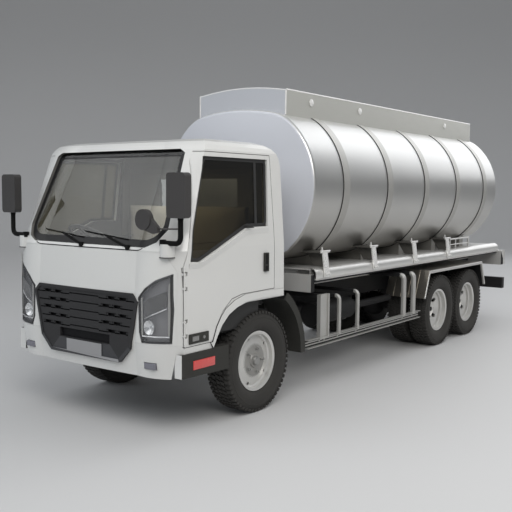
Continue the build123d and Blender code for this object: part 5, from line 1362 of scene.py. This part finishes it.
# ==== Cab interior ====
# A dark grained dashboard with a moulded steering wheel. Four slatted vents, a cluster and two panels, all
# nearly black, are let into the face that looks at the seats.
VENT_PLACES, VENT_Z, VENT_WIDE, SLAT_HALF = (-0.700, -0.180, 0.180, 0.700), 1.330, 0.110, 0.0035
SLAT_RISES, SLAT_IN, SLAT_OUT = (-0.024, -0.008, 0.008, 0.024), 0.002, 0.006
PANEL_IN, PANEL_OUT = 0.004, 0.005
DASH_PANELS = (
    # middle x, middle z, width, height
    (0.0, 1.245, 0.240, 0.090), (-0.430, 1.330, 0.300, 0.070), (0.480, 1.260, 0.330, 0.110),
)
dress(finish_of("dashboard_grain", (0.072, 0.071, 0.070), 0.62, height=0.0006), "dashboard")
dress(CAB_TRIM, "steering_wheel")
fascia = bmesh.new()
dash_skin = skin_of("dashboard")


def dash_block(x, z, half, high, inner, outer, bevel):
    """Adds a block let into the dashboard's rear face."""
    place = laid_on(dash_skin, at(x, 0, z), (0, -1, 0))
    block_form(fascia, place - Vector((half, inner, high)), place + Vector((half, outer, high)), bevel)


for x in VENT_PLACES:
    for rise in SLAT_RISES:
        dash_block(x, VENT_Z + rise, VENT_WIDE / 2, SLAT_HALF, SLAT_IN, SLAT_OUT, 0.001)
for x, z, wide, high in DASH_PANELS:
    dash_block(x, z, wide / 2, high / 2, PANEL_IN, PANEL_OUT, 0.004)
add_form("dashboard_fascia", fascia, "cab", SEAM_DARK, angle=40)


# ==== Seats ====
# Foam cushions under woven cloth with stitched channels: a driver's seat and a double passenger seat. Each
# cushion is one crowned closed form, full and rather tight.
SEAT_PLACES = (("driver", -0.700, -0.180, 4), ("passenger", -0.060, 0.690, 6))
SQUAB_Y, SQUAB_Z = (-0.430, 0.040), (1.0300, 1.148)
REST_Y, REST_Z, LEAN_Y, LEAN = (0.050, 0.145), (1.035, 1.712), 0.100, 0.09
BASE_X, BASE_Y, BASE_Z = ((-0.660, -0.220), (-0.020, 0.650)), (-0.400, 0.150), (1.0105, 1.0290)
CROWN, CUSHION_CUTS, EDGE_START, EDGE_DROP, EDGE_EASE = 0.010, 22, 0.80, 0.30, 0.05
CHANNEL_DEEP, CHANNEL_SHARP, CHANNEL_END = 0.006, 0.16, 0.85
SEAT_CLOTH = finish_of("seat_cloth", (0.26, 0.245, 0.205), 0.86, grain=700, height=0.0012)


def cushion_mesh(name, low, high, axis, channels):
    """A crowned pad between two corners: rounded edges, and shallow channels across its face."""
    form = bmesh.new()
    bmesh.ops.create_cube(form, size=2)
    bmesh.ops.subdivide_edges(form, edges=form.edges, cuts=CUSHION_CUTS, use_grid_fill=True)
    middle, half = (low + high) / 2, (high - low) / 2
    across, along = [i for i in range(3) if i != axis]
    for vertex in form.verts:
        unit = vertex.co.copy()
        edge = max(abs(unit[across]), abs(unit[along]))
        roundness = 1 - max(0.0, (edge - EDGE_START) / (1 - EDGE_START)) ** 2 * EDGE_DROP
        bulge = CROWN * (1 - unit[across] ** 2) * (1 - unit[along] ** 2)
        wave = math.sin(math.pi * channels * unit[across] / 2) / CHANNEL_SHARP
        groove = CHANNEL_DEEP * math.exp(-wave ** 2) if abs(unit[along]) < CHANNEL_END else 0
        ease = 1 - EDGE_EASE * abs(unit[axis]) ** 4
        place = Vector((0, 0, 0))
        place[axis] = unit[axis] * (half[axis] * roundness + (bulge - groove if unit[axis] > 0 else 0))
        place[across] = unit[across] * half[across] * ease
        place[along] = unit[along] * half[along] * ease
        vertex.co = middle + place
    return mesh_of(name, form, 60)


pads = []
for label, x0, x1, channels in SEAT_PLACES:
    name = f"{label}_squab"
    squab = cushion_mesh(name, at(x0, SQUAB_Y[0], SQUAB_Z[0]), at(x1, SQUAB_Y[1], SQUAB_Z[1]), 2, channels)
    pads.append((name, squab))
    name = f"{label}_backrest"
    rest = cushion_mesh(name, at(x0, REST_Y[0], REST_Z[0]), at(x1, REST_Y[1], REST_Z[1]), 1, channels)
    foot = at(0, LEAN_Y, SQUAB_Z[0])
    lean = Matrix.Translation(foot) @ Matrix.Shear("XZ", 4, (0.0, LEAN)) @ Matrix.Translation(-foot)
    rest.transform(Matrix.Rotation(math.pi, 4, "Z"))
    rest.transform(Matrix.Translation(Vector((x0 + x1, 2 * at(0, sum(REST_Y) / 2, 0).y, 0))))
    rest.transform(lean)
    pads.append((name, rest))
bases = bmesh.new()
for run in BASE_X:
    side_block(bases, 1, run, BASE_Y, BASE_Z)
base = add_form("seat_bases", bases, "cab", CAB_TRIM)
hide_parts("seats")
for name, mesh in pads:
    pad = add_piece(name, mesh, "cab", SEAT_CLOTH)
